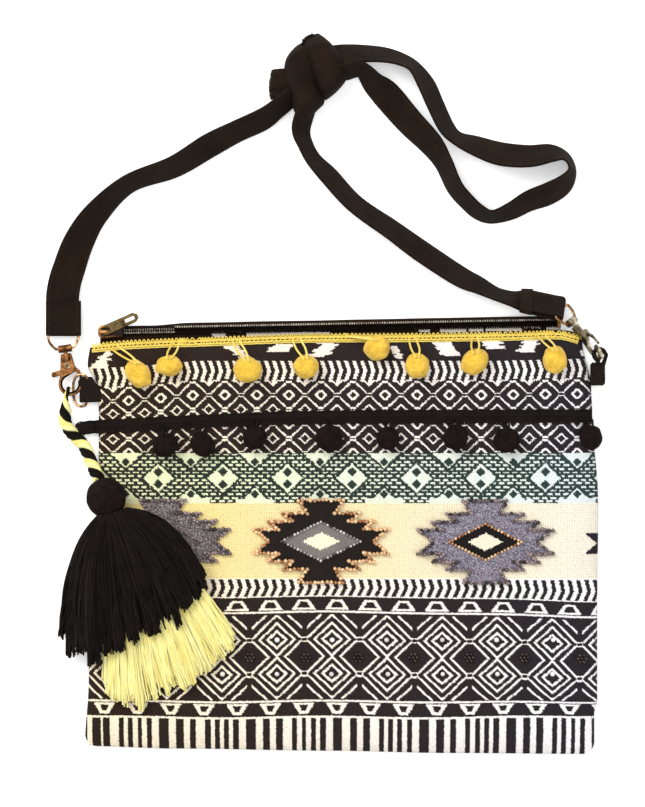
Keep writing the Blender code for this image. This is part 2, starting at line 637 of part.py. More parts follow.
def medallion(name, centre, coat):
    """A toothed diamond patch with a raised rim where its beads are sewn."""
    quarter = [(w * MM, h * MM) for w, h in MEDALLION_TEETH]
    outline = (quarter + [(-w, h) for w, h in reversed(quarter)] + [(-w, -h) for w, h in quarter]
               + [(w, -h) for w, h in reversed(quarter)])
    place = Vector((centre[0] * MM, centre[1] * MM, FRONT_FLAT_Z + PANEL_THICKNESS + GAP))
    outline = [(place.x + x, place.y + y) for x, y in outline]
    patch = prism(name, outline, place.z, place.z + MEDALLION_THICKNESS, coat)
    beads = [Vector((x, y, place.z + BEAD_RADIUS + 0.05 * MM)) for x, y in outline]
    return join(patch, tube("beads", beads, BEAD_RADIUS, coat, closed=True, sides=1))


def arc_points(centre_y, radius, start, end, count):
    return [(radius * math.cos(math.radians(start + (end - start) * k / count)),
             centre_y + radius * math.sin(math.radians(start + (end - start) * k / count)))
            for k in range(count + 1)]


def hook_body(name):
    """The cast body of a snap hook: a neck that widens to the pivot, then an open bow."""
    inner = BOW_OUTER - BOW_WIRE
    outline = ([(-3.2 * MM, NECK_TOP_Y), (3.2 * MM, NECK_TOP_Y), (4.6 * MM, -13.4 * MM), (3.4 * MM, -14.8 * MM)]
               + arc_points(BOW_CENTRE_Y, inner, 110, 375, 22) + arc_points(BOW_CENTRE_Y, BOW_OUTER, 375, 140, 22)
               + [(-4.9 * MM, -13.4 * MM)])
    half = HOOK_THICKNESS / 2
    body = prism(name, outline, -half, half, BRASS, 0.5 * MM)
    collar = rod("collar", Vector((0, NECK_TOP_Y + 0.02 * MM, 0)), Vector((0, -7.5 * MM, 0)), 2.6 * MM, BRASS, 20)
    hole = rod("hole", Vector((0, PIVOT_Y, -4 * half)), Vector((0, PIVOT_Y, 4 * half)), PIN_RADIUS + GAP, BRASS)
    bore = rod("bore", Vector((0, 0, 0)), Vector((0, NECK_TOP_Y - STEM_DEPTH, 0)), STEM_RADIUS + GAP, BRASS)
    return cut(join(body, collar), hole, bore)


def hook_gate(name):
    """The sprung lever behind the bow, with its thumb nub."""
    outline = [(-2.4, -9.6), (-1.2, -8.2), (1.2, -8.2), (2.5, -9.8), (6.6, -13.8), (7.2, -17), (7.2, -20.8),
               (6, -20.8), (5.8, -16.6), (3.4, -14), (0.4, -12.9), (-4, -15.4), (-10.2, -16.2),
               (-10.8, -14.6), (-10.2, -13), (-3.2, -12.2)]
    top = -HOOK_THICKNESS / 2 - 2 * GAP
    gate = prism(name, [(x * MM, y * MM) for x, y in outline], top - GATE_THICKNESS, top, BRASS, 0.3 * MM)
    hole = rod("hole", Vector((0, PIVOT_Y, top - 2 * GATE_THICKNESS)), Vector((0, PIVOT_Y, 0)),
               PIN_RADIUS + GAP, BRASS)
    return cut(gate, hole)


def hook_pin(name):
    """The rivet through the body and the gate."""
    top = HOOK_THICKNESS / 2 + GAP
    bottom = -HOOK_THICKNESS / 2 - 2 * GAP - GATE_THICKNESS - GAP
    middle = Vector((0, PIVOT_Y, 0))
    up = Vector((0, 0, 1))
    pin = rod(name, middle + up * (bottom - PIN_HEAD / 2), middle + up * (top + PIN_HEAD / 2), PIN_RADIUS, BRASS)
    heads = [rod("head", middle + up * z, middle + up * (z + PIN_HEAD), PIN_HEAD_RADIUS, BRASS)
             for z in (top, bottom - PIN_HEAD)]
    return join(pin, *heads)


def swivel_head(name):
    """The barrel that holds the wire ring, with a stem that turns in the hook's neck."""
    half = BARREL_LENGTH / 2
    head = rod(name, Vector((-half, 0, 0)), Vector((half, 0, 0)), BARREL_RADIUS, BRASS, 20)
    stem = rod("stem", Vector((0, -BARREL_RADIUS / 2, 0)), Vector((0, NECK_TOP_Y - STEM_DEPTH + GAP, 0)),
               STEM_RADIUS, BRASS)
    bore = rod("bore", Vector((-2 * half, 0, 0)), Vector((2 * half, 0, 0)), WIRE_RADIUS + GAP, BRASS)
    return cut(join(head, stem), bore)


def ring_route():
    """The wire ring: a straight bar for the strap, and a round lower side through the barrel."""
    half, height = RING_HALF_WIDTH - WIRE_RADIUS, RING_HEIGHT
    side = [(BARREL_LENGTH / 2, 0), (BARREL_LENGTH / 2 + 1.5 * MM, 0.4 * MM), (half - 1.7 * MM, 2.4 * MM),
            (half - 0.3 * MM, 5 * MM), (half, 7.4 * MM), (half - 0.4 * MM, height - 0.7 * MM),
            (half - 1.3 * MM, height)]
    return [Vector((x, y, 0)) for x, y in side] + [Vector((-x, y, 0)) for x, y in reversed(side)]


def hook_frame(place, turn, dip, roll):
    """Frame of a hook: its own +Y runs up to the strap, its own +Z out of its face."""
    return (Matrix.Translation(place) @ Matrix.Rotation(turn, 4, "Z") @ Matrix.Rotation(dip, 4, "X")
            @ Matrix.Rotation(roll, 4, "Y"))


def snap_hook(side, frame, ring_frame):
    pieces = [hook_body(f"{side}_hook_body"), hook_gate(f"{side}_hook_gate"), hook_pin(f"{side}_hook_pin")]
    for piece in pieces:
        piece.matrix_world = frame
    head = swivel_head(f"{side}_swivel_head")
    ring = tube(f"{side}_ring", ring_route(), WIRE_RADIUS, BRASS, closed=True)
    head.matrix_world = ring_frame
    ring.matrix_world = ring_frame
    return ring


def d_ring_route():
    """The left tab's D-ring: it slants down from the tab, through the bow and under it."""
    plan = [(-0.6, -36.3), (-0.6, -23.5), (-1.2, -21.9), (-2.6, -21), (-4.4, -20.7), (-6.3, -21.1),
            (-8, -22.9), (-9.1, -25.8), (-9.3, -29.3), (-9.2, -33.3), (-8.6, -36.7), (-7, -39.1),
            (-4.6, -39.9), (-2.4, -39.3), (-1, -37.7)]
    return [LEFT_CORNER + Vector((x, y, d_ring_slant(x, y))) * MM for x, y in plan]


def d_ring_slant(x, y):
    """Height of the D-ring's slanting plane, in millimetres from the left corner."""
    return 4.8 + 0.21 * (x + 6.3) + 0.215 * (y + 21.1)


def left_tab():
    """The fabric loop in the left seam that holds the D-ring."""
    outline = [(-2.9, -24.5), (1.4, -24.5), (4.4, -29.3), (5.4, -34.9), (0, -35.3), (-2.9, -35.3)]
    middles = [d_ring_slant(x, y) if x < 1 else 4.2 for x, y in outline]
    low = [LEFT_CORNER + Vector((x, y, middle - 1.9)) * MM for (x, y), middle in zip(outline, middles)]
    high = [LEFT_CORNER + Vector((x, y, middle + 1.9)) * MM for (x, y), middle in zip(outline, middles)]
    count = len(outline)
    faces = [tuple(range(count)), tuple(range(count, 2 * count))]
    faces += [(i, (i + 1) % count, count + (i + 1) % count, count + i) for i in range(count)]
    tab = add_mesh("left_tab", low + high, faces, CANVAS, smooth=False)
    tab.data.update()
    return cut(as_mesh(triangulated(tab)), tube("bar", d_ring_route(), WIRE_RADIUS + GAP, CANVAS, closed=True))


def triangulated(item):
    item.modifiers.new("Triangles", "TRIANGULATE")
    return item


def right_tab(frame):
    """The fabric loop in the right seam, gathered where it passes through the right hook's bow."""
    x, y = RIGHT_CORNER.x, RIGHT_CORNER.y
    inner = (right_edge(y - 27 * MM) + GAP, y - 27 * MM, 1.6 * MM)
    block = box("right_tab", inner, (x + 4.2 * MM, y - 14.7 * MM, 11.4 * MM), CANVAS, 1 * MM)
    wire_y = BOW_CENTRE_Y - BOW_OUTER + BOW_WIRE / 2
    reach = BOW_WIRE / 2 + GAP + 1.7 * MM
    turn = [Vector((0, wire_y + reach * math.sin(math.radians(a)), reach * math.cos(math.radians(a))))
            for a in range(0, 181, 20)]
    near, far = Vector((0, wire_y - 2.4 * MM, 2.9 * MM)), Vector((0, wire_y - 2.4 * MM, -2.9 * MM))
    roots = [RIGHT_CORNER + Vector((out, down, 9.2)) * MM for out, down in ((-1.4, -16.9), (2.6, -17.9))]
    route = [roots[0]] + [frame @ p for p in [near] + turn + [far]] + [roots[1]]
    fold = tube("fold", route, 1.3 * MM, CANVAS)
    return join(as_mesh(block), fold)


def ribbon(name, route, lean, coat):
    """A flat strap that rolls onto its edge wherever it looks narrow; lean 1 raises its left side."""
    points = smooth_route([Vector((*spot, 0.4)[:4]) for spot in route], 6)
    corners = []
    for k, point in enumerate(points):
        ahead = points[min(k + 1, len(points) - 1)] - points[max(k - 1, 0)]
        side = Vector((-ahead.y, ahead.x, 0)).normalized()
        seen = min(max(point.z / (STRAP_WIDTH / MM), 0.12), 1.0)
        roll = lean * math.acos(seen)
        across = side * math.cos(roll) + Vector((0, 0, math.sin(roll)))
        facing = side * -math.sin(roll) + Vector((0, 0, math.cos(roll)))
        half, thick = STRAP_WIDTH / 2, STRAP_THICKNESS / 2
        height = point.w * MM + half * abs(math.sin(roll)) + thick * math.cos(roll)
        middle = Vector((point.x * MM, point.y * MM, height))
        corners.append([middle + across * a * half + facing * b * thick
                        for a, b in ((-1, -1), (1, -1), (1, 1), (-1, 1))])
    verts = [corner for ring in corners for corner in ring]
    faces = [(0, 1, 2, 3), tuple(len(verts) - 4 + k for k in range(4))]
    for i in range(len(corners) - 1):
        for k in range(4):
            a, b = 4 * i + k, 4 * i + (k + 1) % 4
            faces.append((a, b, b + 4, a + 4))
    return add_mesh(name, verts, faces, coat)


def dome(name, outline, centre, low, high, coat, rings=(1.0, 0.94, 0.8, 0.55, 0.25), grow=0.0):
    """A closed mound over an outline; low and high give its two faces at a share of the way out."""
    count = len(outline)
    middle = Vector(centre)
    spots = [middle + (Vector(p) - middle) * (1 + grow / (Vector(p) - middle).length) for p in outline]
    layers = [(share, low) for share in reversed(rings)] + [(share, high) for share in rings[1:]]
    verts = [Vector((middle.x, middle.y, low(middle.x, middle.y, 0)))]
    for share, height in layers:
        for spot in spots:
            x, y = middle + (spot - middle) * share
            verts.append(Vector((x, y, height(x, y, share))))
    verts.append(Vector((middle.x, middle.y, high(middle.x, middle.y, 0))))
    faces = []
    last = 1 + (len(layers) - 1) * count
    for k in range(count):
        n = (k + 1) % count
        faces.append((0, 1 + n, 1 + k))
        for layer in range(len(layers) - 1):
            a = 1 + layer * count
            faces.append((a + k, a + n, a + count + n, a + count + k))
        faces.append((last + k, last + n, len(verts) - 1))
    return add_mesh(name, [v * MM for v in verts], faces, coat)


def knot(name, grow=0.0):
    """The outer shape of the knot tied in the doubled strap."""

    def low(x, y, share):
        return 0.4 - grow + (2.6 * share ** 3 if share > 0.9 else 0)

    def high(x, y, share):
        return 5 + grow + (KNOT_HEIGHT / MM - 5) * math.sqrt(max(0.0, 1 - share ** 2.4))

    return dome(name, KNOT_OUTLINE, KNOT_CENTRE, low, high, CANVAS, grow=grow)


def strap():
    """The strap's free runs, cut back to the knot they leave."""
    for name, route, lean in (("strap_left_run", LEFT_RUN, 1), ("strap_right_run", RIGHT_RUN, -1),
                              ("strap_loop", LOOP_RUN, 1)):
        cut(ribbon(name, route, lean, CANVAS), knot("cutter", grow=GAP / MM))
    knot("strap_knot")


def strap_end(name, frame, ring):
    """The stitched fold of the strap round a ring's bar."""
    half, thick = STRAP_WIDTH / 2, STRAP_END_THICKNESS / 2
    end = box(name, (-half, -3 * MM, -thick), (half, STRAP_END_LENGTH - 3 * MM, thick), CANVAS, 0.8 * MM)
    end.matrix_world = frame
    bar = tube("bar", [ring.matrix_world @ p for p in ring_route()], WIRE_RADIUS + GAP, CANVAS, closed=True)
    return cut(as_mesh(end), bar)


def tassel(frame):
    """A twisted cord looped over the left hook's bow, a ball, and a black skirt over a yellow one."""
    wire = BOW_OUTER - BOW_WIRE / 2
    out = Vector((math.cos(LOOP_ANGLE), math.sin(LOOP_ANGLE), 0))
    hub = Vector((0, BOW_CENTRE_Y, 0)) + out * wire
    reach = HOOK_THICKNESS / 2 + GAP + LOOP_RADIUS + 0.5 * MM
    up = Vector((0, 0, 1))
    loop = [frame @ (hub + (up * math.sin(math.radians(a)) - out * math.cos(math.radians(a))) * reach)
            for a in (-14, 10, 35, 60, 85, 110, 135)]
    route = loop + smooth_route([Vector(p) * MM for p in CORD_ROUTE], 6 * MM)
    shares = [LOOP_RADIUS / CORD_RADIUS] * len(loop) + [0.62, 0.9] + [1.0] * (len(route) - len(loop) - 2)
    cord = tube("tassel_cord", route, CORD_RADIUS, TWIST, radii=shares)
    height = 2 * BALL_RADIUS * BALL_FLATNESS
    cutter = ball("cutter", BALL_PLACE, BALL_RADIUS + GAP, height + 2 * GAP, YARN, 16, 10)
    cut(as_mesh(cord), cutter)
    ball("tassel_ball", BALL_PLACE, BALL_RADIUS, height, YARN, 16, 10)
    flat = (FRONT_FLAT_Z + PANEL_THICKNESS + 2 * BEAD_RADIUS + 3 * GAP) / MM
    split = flat + 7.4

    def sag(x):
        return max(0.0, min(1.0, (left_edge(0) / MM - x) / 12))

    def yellow_low(x, y, share):
        return flat

    def yellow_high(x, y, share):
        return flat + 1.5 + 5.6 * math.sqrt(max(0.0, 1 - share ** 3))

    def black_low(x, y, share):
        return split - (split - 4) * sag(x)

    def black_high(x, y, share):
        return split + 2 + 7.5 * math.sqrt(max(0.0, 1 - share ** 2.5)) - 15 * sag(x)

    for name, outline, low, high, coat in (("black_skirt", BLACK_SKIRT, black_low, black_high, YARN),
                                           ("yellow_skirt", YELLOW_SKIRT, yellow_low, yellow_high, YELLOW)):
        skirt = dome(name, outline, SKIRT_NECK, low, high, coat, rings=(1.0, 0.9, 0.65, 0.35))
        cut(skirt, ball("cutter", BALL_PLACE, BALL_RADIUS + GAP, height + 2 * GAP, YARN, 16, 10))


for leftover in list(bpy.data.objects):
    bpy.data.objects.remove(leftover)

WOVEN = material("woven_cotton", (0.35, 0.33, 0.30), 0.9)
PLAIN_CLOTH = material("back_cotton", (0.03, 0.025, 0.02), 0.9)
LINING = material("lining", (0.05, 0.045, 0.04), 0.8)
TAPE = material("zip_tape", (0.015, 0.01, 0.008), 0.85)
COIL = material("zip_coil", (0.02, 0.018, 0.016), 0.45)
BRONZE = material("antique_bronze", (0.16, 0.08, 0.03), 0.38, 1.0)
PULL = material("pull_bronze", (0.14, 0.11, 0.05), 0.42, 1.0)
BRASS = material("antique_brass", (0.5, 0.25, 0.1), 0.32, 1.0)
YELLOW = material("yellow_yarn", (0.9, 0.65, 0.1), 0.95)
YARN = material("black_yarn", (0.012, 0.01, 0.01), 0.95)
PATCH = material("beaded_patch", (0.22, 0.2, 0.22), 0.7)
CANVAS = material("strap_canvas", (0.02, 0.012, 0.008), 0.9)
TWIST = material("twisted_cord", (0.7, 0.62, 0.2), 0.9)

LEFT_FRAME = hook_frame(LEFT_HOOK_PLACE, LEFT_HOOK_TURN, 0, 0)
RIGHT_FRAME = hook_frame(RIGHT_HOOK_PLACE, RIGHT_HOOK_TURN, RIGHT_HOOK_DIP, RIGHT_HOOK_ROLL)
RIGHT_RING_FRAME = hook_frame(RIGHT_HOOK_PLACE, RIGHT_HOOK_TURN, RIGHT_HOOK_DIP, RIGHT_RING_ROLL)

front_panel()
back_panel()
linings()
zip_tapes()
zip_coils()
zip_slider()
pull_tab()
braid("yellow_braid", YELLOW_BRAID_ROUTE, YELLOW_BRAID_WIDTH, YELLOW)
braid("black_braid", BLACK_BRAID_ROUTE, BLACK_BRAID_WIDTH, YARN)
pompoms("yellow_pompom", YELLOW_POMPOMS, YELLOW_POMPOM_RADIUS, YELLOW, POMPOM_ON_BRAID)
pompoms("black_pompom", BLACK_POMPOMS, BLACK_POMPOM_RADIUS, YARN)
for place_name, place_centre in zip(("left", "middle", "right"), MEDALLION_CENTRES):
    medallion(f"{place_name}_medallion", place_centre, PATCH)
left_ring = snap_hook("left", LEFT_FRAME, LEFT_FRAME)
right_ring = snap_hook("right", RIGHT_FRAME, RIGHT_RING_FRAME)
tube("left_d_ring", d_ring_route(), WIRE_RADIUS, BRASS, closed=True)
left_tab()
right_tab(RIGHT_FRAME)
strap()
bpy.context.view_layer.update()
strap_end("left_strap_end", LEFT_FRAME @ Matrix.Translation((0, RING_HEIGHT, 0))
          @ Matrix.Rotation(-LEFT_HOOK_TURN, 4, "Z"), left_ring)
strap_end("right_strap_end", Matrix.Translation(RIGHT_RING_FRAME @ Vector((0, RING_HEIGHT, 0)))
          @ Matrix.Rotation(math.radians(77), 4, "Z") @ Matrix.Rotation(math.radians(50), 4, "Y"), right_ring)
tassel(LEFT_FRAME)
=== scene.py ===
import math
import random

import bmesh
import bpy
from mathutils import Matrix, Vector, noise


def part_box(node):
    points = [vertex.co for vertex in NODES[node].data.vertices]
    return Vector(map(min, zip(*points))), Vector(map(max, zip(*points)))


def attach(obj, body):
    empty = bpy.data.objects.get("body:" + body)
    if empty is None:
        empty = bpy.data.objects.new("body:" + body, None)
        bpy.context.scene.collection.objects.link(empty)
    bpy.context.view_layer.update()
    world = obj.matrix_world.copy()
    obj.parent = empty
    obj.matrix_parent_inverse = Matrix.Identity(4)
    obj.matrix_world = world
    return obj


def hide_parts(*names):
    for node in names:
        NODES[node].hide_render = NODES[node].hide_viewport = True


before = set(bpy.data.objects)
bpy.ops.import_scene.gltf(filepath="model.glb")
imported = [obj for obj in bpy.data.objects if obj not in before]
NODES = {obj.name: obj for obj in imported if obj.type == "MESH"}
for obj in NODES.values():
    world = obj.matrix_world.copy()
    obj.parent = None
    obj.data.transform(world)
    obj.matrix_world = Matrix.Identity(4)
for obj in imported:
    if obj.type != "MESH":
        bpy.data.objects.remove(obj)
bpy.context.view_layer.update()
MM = 0.001
random.seed(7)


# Camera, light and floor.
# The view is straight down; the floor is plain white paper that keeps the soft shadow under the bag.
THREAD = 0.6
MIDDLE_PX, MIDDLE_PY = 343, 545.5


def place(px, py, z=0.0):
    """A point named by where it is seen, in steps of one thread, at a height in millimetres."""
    return Vector(((px - MIDDLE_PX) * THREAD, (MIDDLE_PY - py) * THREAD, z)) * MM


def seen(x, y):
    """Where a point is seen, in the same steps."""
    return x / MM / THREAD + MIDDLE_PX, MIDDLE_PY - y / MM / THREAD


def srgb(r, g, b):
    """A colour as it is seen, in steps of 0 to 255, turned into the renderer's own numbers."""
    return tuple((c / 255 / 12.92 if c < 10 else ((c / 255 + 0.055) / 1.055) ** 2.4) for c in (r, g, b))


def add_light(name, where, size, power):
    """A square lamp that faces the middle of the bag."""
    data = bpy.data.lights.new(name, "AREA")
    data.size = size
    data.energy = power
    light = bpy.data.objects.new(name, data)
    bpy.context.scene.collection.objects.link(light)
    light.location = where
    light.rotation_euler = (BAG_MIDDLE - Vector(where)).to_track_quat("-Z", "Y").to_euler()


BAG_MIDDLE = Vector((0, 0.08, 0))
SENSOR_HEIGHT = 24
CAMERA_PLACE = (-0.0123, 0.0852, 2.008)
CAMERA_REACH = 2.0
SEEN_HEIGHT = 0.4842
SKY_GLOW = 0.42
PAPER_GLOW = 0.38
camera = bpy.data.objects.new("camera", bpy.data.cameras.new("camera"))
bpy.context.scene.collection.objects.link(camera)
camera.data.sensor_fit = "VERTICAL"
camera.data.sensor_height = SENSOR_HEIGHT
camera.data.lens = SENSOR_HEIGHT * CAMERA_REACH / SEEN_HEIGHT
camera.location = CAMERA_PLACE
bpy.context.scene.camera = camera
bpy.context.scene.view_settings.view_transform = "Standard"

add_light("key_light", (-0.9, 1.0, 1.5), 1.1, 30)
add_light("fill_light", (1.1, -0.5, 1.3), 1.4, 11)
add_light("top_light", (0.1, 0.2, 2.4), 1.2, 10)
sky = bpy.data.worlds.new("sky")
sky.use_nodes = True
sky.node_tree.nodes["Background"].inputs["Color"].default_value = (1, 1, 1, 1)
sky.node_tree.nodes["Background"].inputs["Strength"].default_value = SKY_GLOW
bpy.context.scene.world = sky

bpy.ops.mesh.primitive_plane_add(size=6, location=(0, 0, -0.0004))
floor = bpy.context.object
floor.name = "floor"
paper = bpy.data.materials.new("white_paper")
paper.use_nodes = True
paper_shader = paper.node_tree.nodes["Principled BSDF"]
paper_shader.inputs["Base Color"].default_value = (0.95, 0.95, 0.95, 1)
paper_shader.inputs["Roughness"].default_value = 0.9
paper_shader.inputs["Emission Color"].default_value = (1, 1, 1, 1)
paper_path = paper.node_tree.nodes.new("ShaderNodeLightPath")
paper_glow = paper_path.outputs["Is Camera Ray"]
for kind, ray in (("MAXIMUM", "Is Glossy Ray"), ("MAXIMUM", "Is Transmission Ray"), ("MULTIPLY", None)):
    paper_step = paper.node_tree.nodes.new("ShaderNodeMath")
    paper_step.operation = kind
    paper_step.inputs[1].default_value = PAPER_GLOW
    paper.node_tree.links.new(paper_glow, paper_step.inputs[0])
    if ray:
        paper.node_tree.links.new(paper_path.outputs[ray], paper_step.inputs[1])
    paper_glow = paper_step.outputs[0]
paper.node_tree.links.new(paper_glow, paper_shader.inputs["Emission Strength"])
floor.data.materials.append(paper)


# Strap.
# A flat woven canvas ribbon in three runs between the hooks and the knot; it rolls onto its edges in the
# bends. Its weave slants a little, each edge has a line of stitches, and a keeper sits at the right end.
class Value:
    """A number in a node tree that is added, scaled and compared like any other; yes is 1 and no is 0."""
    tree = None

    def __init__(self, socket):
        self.socket = socket

    def __add__(self, other): return step("ADD", self, other)
    def __radd__(self, other): return step("ADD", other, self)
    def __sub__(self, other): return step("SUBTRACT", self, other)
    def __rsub__(self, other): return step("SUBTRACT", other, self)
    def __mul__(self, other): return step("MULTIPLY", self, other)
    def __rmul__(self, other): return step("MULTIPLY", other, self)
    def __truediv__(self, other): return step("DIVIDE", self, other)
    def __rtruediv__(self, other): return step("DIVIDE", other, self)
    def __mod__(self, other): return step("FLOORED_MODULO", self, other)
    def __lt__(self, other): return step("LESS_THAN", self, other)
    def __gt__(self, other): return step("GREATER_THAN", self, other)
    def __and__(self, other): return step("MINIMUM", self, other)
    def __or__(self, other): return step("MAXIMUM", self, other)
    def __abs__(self): return step("ABSOLUTE", self)
    def __invert__(self): return step("SUBTRACT", 1.0, self)


def step(kind, *inputs):
    node = Value.tree.nodes.new("ShaderNodeMath")
    node.operation = kind
    for slot, item in zip(node.inputs, inputs):
        plug(item, slot)
    return Value(node.outputs[0])


def plug(item, slot):
    """Feeds a value, a colour or a plain number into an input."""
    if isinstance(item, Value):
        Value.tree.links.new(item.socket, slot)
    elif isinstance(item, tuple) and len(item) == 3 and len(slot.default_value) == 4:
        slot.default_value = (*item, 1)
    else:
        slot.default_value = item


def coordinates(kind="Object"):
    """Where a point lies on its piece, or in its UV map."""
    node = Value.tree.nodes.new("ShaderNodeTexCoord")
    return Value(node.outputs[kind])


def split(vector):
    """The x, y and z of a vector."""
    node = Value.tree.nodes.new("ShaderNodeSeparateXYZ")
    plug(vector, node.inputs[0])
    return [Value(out) for out in node.outputs]


def vector(x, y, z=0.0):
    """A vector from its x, y and z."""
    node = Value.tree.nodes.new("ShaderNodeCombineXYZ")
    for slot, item in zip(node.inputs, (x, y, z)):
        plug(item, slot)
    return Value(node.outputs[0])


def shared(name, inputs, build):
    """A node group that many materials use: named inputs and one output called Value, built once."""
    tree = bpy.data.node_groups.new(name, "ShaderNodeTree")
    for label, kind in inputs:
        tree.interface.new_socket(label, in_out="INPUT", socket_type="NodeSocket" + kind)
    tree.interface.new_socket("Value", in_out="OUTPUT", socket_type="NodeSocketFloat")
    Value.tree = tree
    entry = tree.nodes.new("NodeGroupInput")
    answer = build(*[Value(out) for out in entry.outputs[:len(inputs)]])
    plug(answer, tree.nodes.new("NodeGroupOutput").inputs[0])
    return tree


def placed(tree, *inputs):
    """A shared group in the material that is being made, with that material's own values."""
    node = Value.tree.nodes.new("ShaderNodeGroup")
    node.node_tree = tree
    for slot, item in zip(node.inputs, inputs):
        plug(item, slot)
    return Value(node.outputs[0])


def grain_nodes(where, scale, detail, rough):
    node = Value.tree.nodes.new("ShaderNodeTexNoise")
    for label, item in (("Vector", where), ("Scale", scale), ("Detail", detail), ("Roughness", rough)):
        plug(item, node.inputs[label])
    return Value(node.outputs[0])


def rib_nodes(value, pitch):
    return step("SINE", value * (math.tau / pitch)) * 0.5 + 0.5


GRAIN = shared("grain", [("Vector", "Vector"), ("Scale", "Float"), ("Detail", "Float"), ("Roughness", "Float")],
               grain_nodes)
RIBS = shared("ribs", [("Distance", "Float"), ("Pitch", "Float")], rib_nodes)


def noise_at(where, scale, detail=2.0, rough=0.5):
    """Uneven grain from 0 to 1."""
    return placed(GRAIN, where, scale, detail, rough)


def wave(value, pitch):
    """Even ribs from 0 to 1 with a given pitch."""
    return placed(RIBS, value, pitch)


def mix(mask, low, high):
    """A colour between two colours."""
    node = Value.tree.nodes.new("ShaderNodeMix")
    node.data_type = "RGBA"
    plug(mask, node.inputs[0])
    plug(low, node.inputs[6])
    plug(high, node.inputs[7])
    return Value(node.outputs[2])


def ramp(value, low, high):
    """0 below low, 1 above high, straight between."""
    node = Value.tree.nodes.new("ShaderNodeMapRange")
    for slot, item in zip(node.inputs, (value, low, high, 0.0, 1.0)):
        plug(item, slot)
    return Value(node.outputs[0])


def attribute(name):
    """A number that the mesh holds for each of its points."""
    node = Value.tree.nodes.new("ShaderNodeAttribute")
    node.attribute_name = name
    return Value(node.outputs["Fac"])


PLAIN_GLOSS = 0.12


def material(name, build):
    """A material from a function that returns its colour, roughness, bump height and bump depth in metres."""
    made = bpy.data.materials.new(name)
    made.use_nodes = True
    Value.tree = made.node_tree
    shader = made.node_tree.nodes["Principled BSDF"]
    look = build()
    plug(look["color"], shader.inputs["Base Color"])
    plug(look["rough"], shader.inputs["Roughness"])
    plug(look.get("metal", 0.0), shader.inputs["Metallic"])
    shader.inputs["Specular IOR Level"].default_value = look.get("gloss", PLAIN_GLOSS)
    shader.inputs["Sheen Weight"].default_value = look.get("sheen", 0.0)
    if "height" in look:
        bump = made.node_tree.nodes.new("ShaderNodeBump")
        bump.inputs["Distance"].default_value = look["depth"]
        plug(look["height"], bump.inputs["Height"])
        made.node_tree.links.new(bump.outputs[0], shader.inputs["Normal"])
    return made


def any_of(masks):
    """Yes wherever one of the masks says yes."""
    found, *rest = masks
    for mask in rest:
        found = found | mask
    return found


def new_piece(name, mesh, coat):
    """A mesh as a piece of the scene, all in one material."""
    mesh.materials.clear()
    mesh.materials.append(coat)
    item = bpy.data.objects.new(name, mesh)
    bpy.context.scene.collection.objects.link(item)
    return item


def settle(piece, body, node=None):
    """A piece moves with its body and may stand in for a solid."""
    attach(piece, body)
    if node:
        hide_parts(node)
    return piece


def sleeve_faces(rows, size):
    """Faces of a closed sleeve of rows of points, with a cap at each end."""
    faces = [tuple(range(size)), tuple(rows * size - 1 - k for k in range(size))]
    for i in range(rows - 1):
        for k in range(size):
            a, b = i * size + k, i * size + (k + 1) % size
            faces.append((a, b, b + size, a + size))
    return faces


def cloth_faces(rows, width, over=False):
    """Faces of a sheet of rows of points; over turns it face down."""
    faces = []
    for i in range(rows - 1):
        for j in range(width - 1):
            a = i * width + j
            faces.append((a, a + width, a + width + 1, a + 1) if over else (a, a + 1, a + width + 1, a + width))
    return faces


def thicken(piece, thickness, offset):
    """Gives a sheet its thickness in millimetres."""
    shell = piece.modifiers.new("Shell", "SOLIDIFY")
    shell.thickness = thickness * MM
    shell.offset = offset


def add_mesh(name, verts, faces, coat, uvs=None, angle=40):
    """A mesh piece from points and faces, shaded smooth, with a UV for each point where given."""
    mesh = bpy.data.meshes.new(name)
    mesh.from_pydata([tuple(v) for v in verts], [], faces)
    mesh.validate()
    if uvs:
        layer = mesh.uv_layers.new(name="UVMap")
        for loop in mesh.loops:
            layer.data[loop.index].uv = uvs[loop.vertex_index]
    mesh.shade_smooth()
    mesh.set_sharp_from_angle(angle=math.radians(angle))
    return new_piece(name, mesh, coat)


def smooth_route(points, gap):
    """Points about a gap apart on a smooth curve through the given vectors."""
    ends = [2 * points[0] - points[1]] + list(points) + [2 * points[-1] - points[-2]]
    route = []
    for p0, p1, p2, p3 in zip(ends, ends[1:], ends[2:], ends[3:]):
        count = max(1, round((p2 - p1).length / gap))
        for i in range(count):
            t = i / count
            route.append(0.5 * (2 * p1 + (p2 - p0) * t + (2 * p0 - 5 * p1 + 4 * p2 - p3) * t * t
                                + (3 * p1 - p0 - 3 * p2 + p3) * t ** 3))
    route.append(points[-1].copy())
    return route


def canvas():
    along, across, _ = split(coordinates("UV"))
    grain = noise_at(coordinates(), 900, 3)
    patches = noise_at(coordinates(), 60, 2)
    ribs = wave(along + across * 0.6, 0.00095)
    threads = wave(across - along * 0.4, 0.0007)
    stitch_row = abs(abs(across) - 0.0083) < 0.0003
    stitch = stitch_row & (along % 0.0032 < 0.0023)
    shade = ribs * 0.25 + grain * 0.55 + patches * 0.5
    color = mix(ramp(shade, 0.35, 1.1), srgb(9, 5, 2), srgb(50, 36, 25))
    color = mix(stitch, color, srgb(44, 34, 26))
    relief = ribs * 0.4 + threads * 0.3 + grain * 0.4 + stitch * 0.6
    return {"color": color, "rough": 0.92, "height": relief, "depth": 0.00025}


CANVAS = material("strap_canvas", canvas)
STRAP_WIDTH = 20 * MM
STRAP_THICKNESS = 1.8 * MM
STRAP_STEP, LYING_CLEAR = 1.6, 0.4
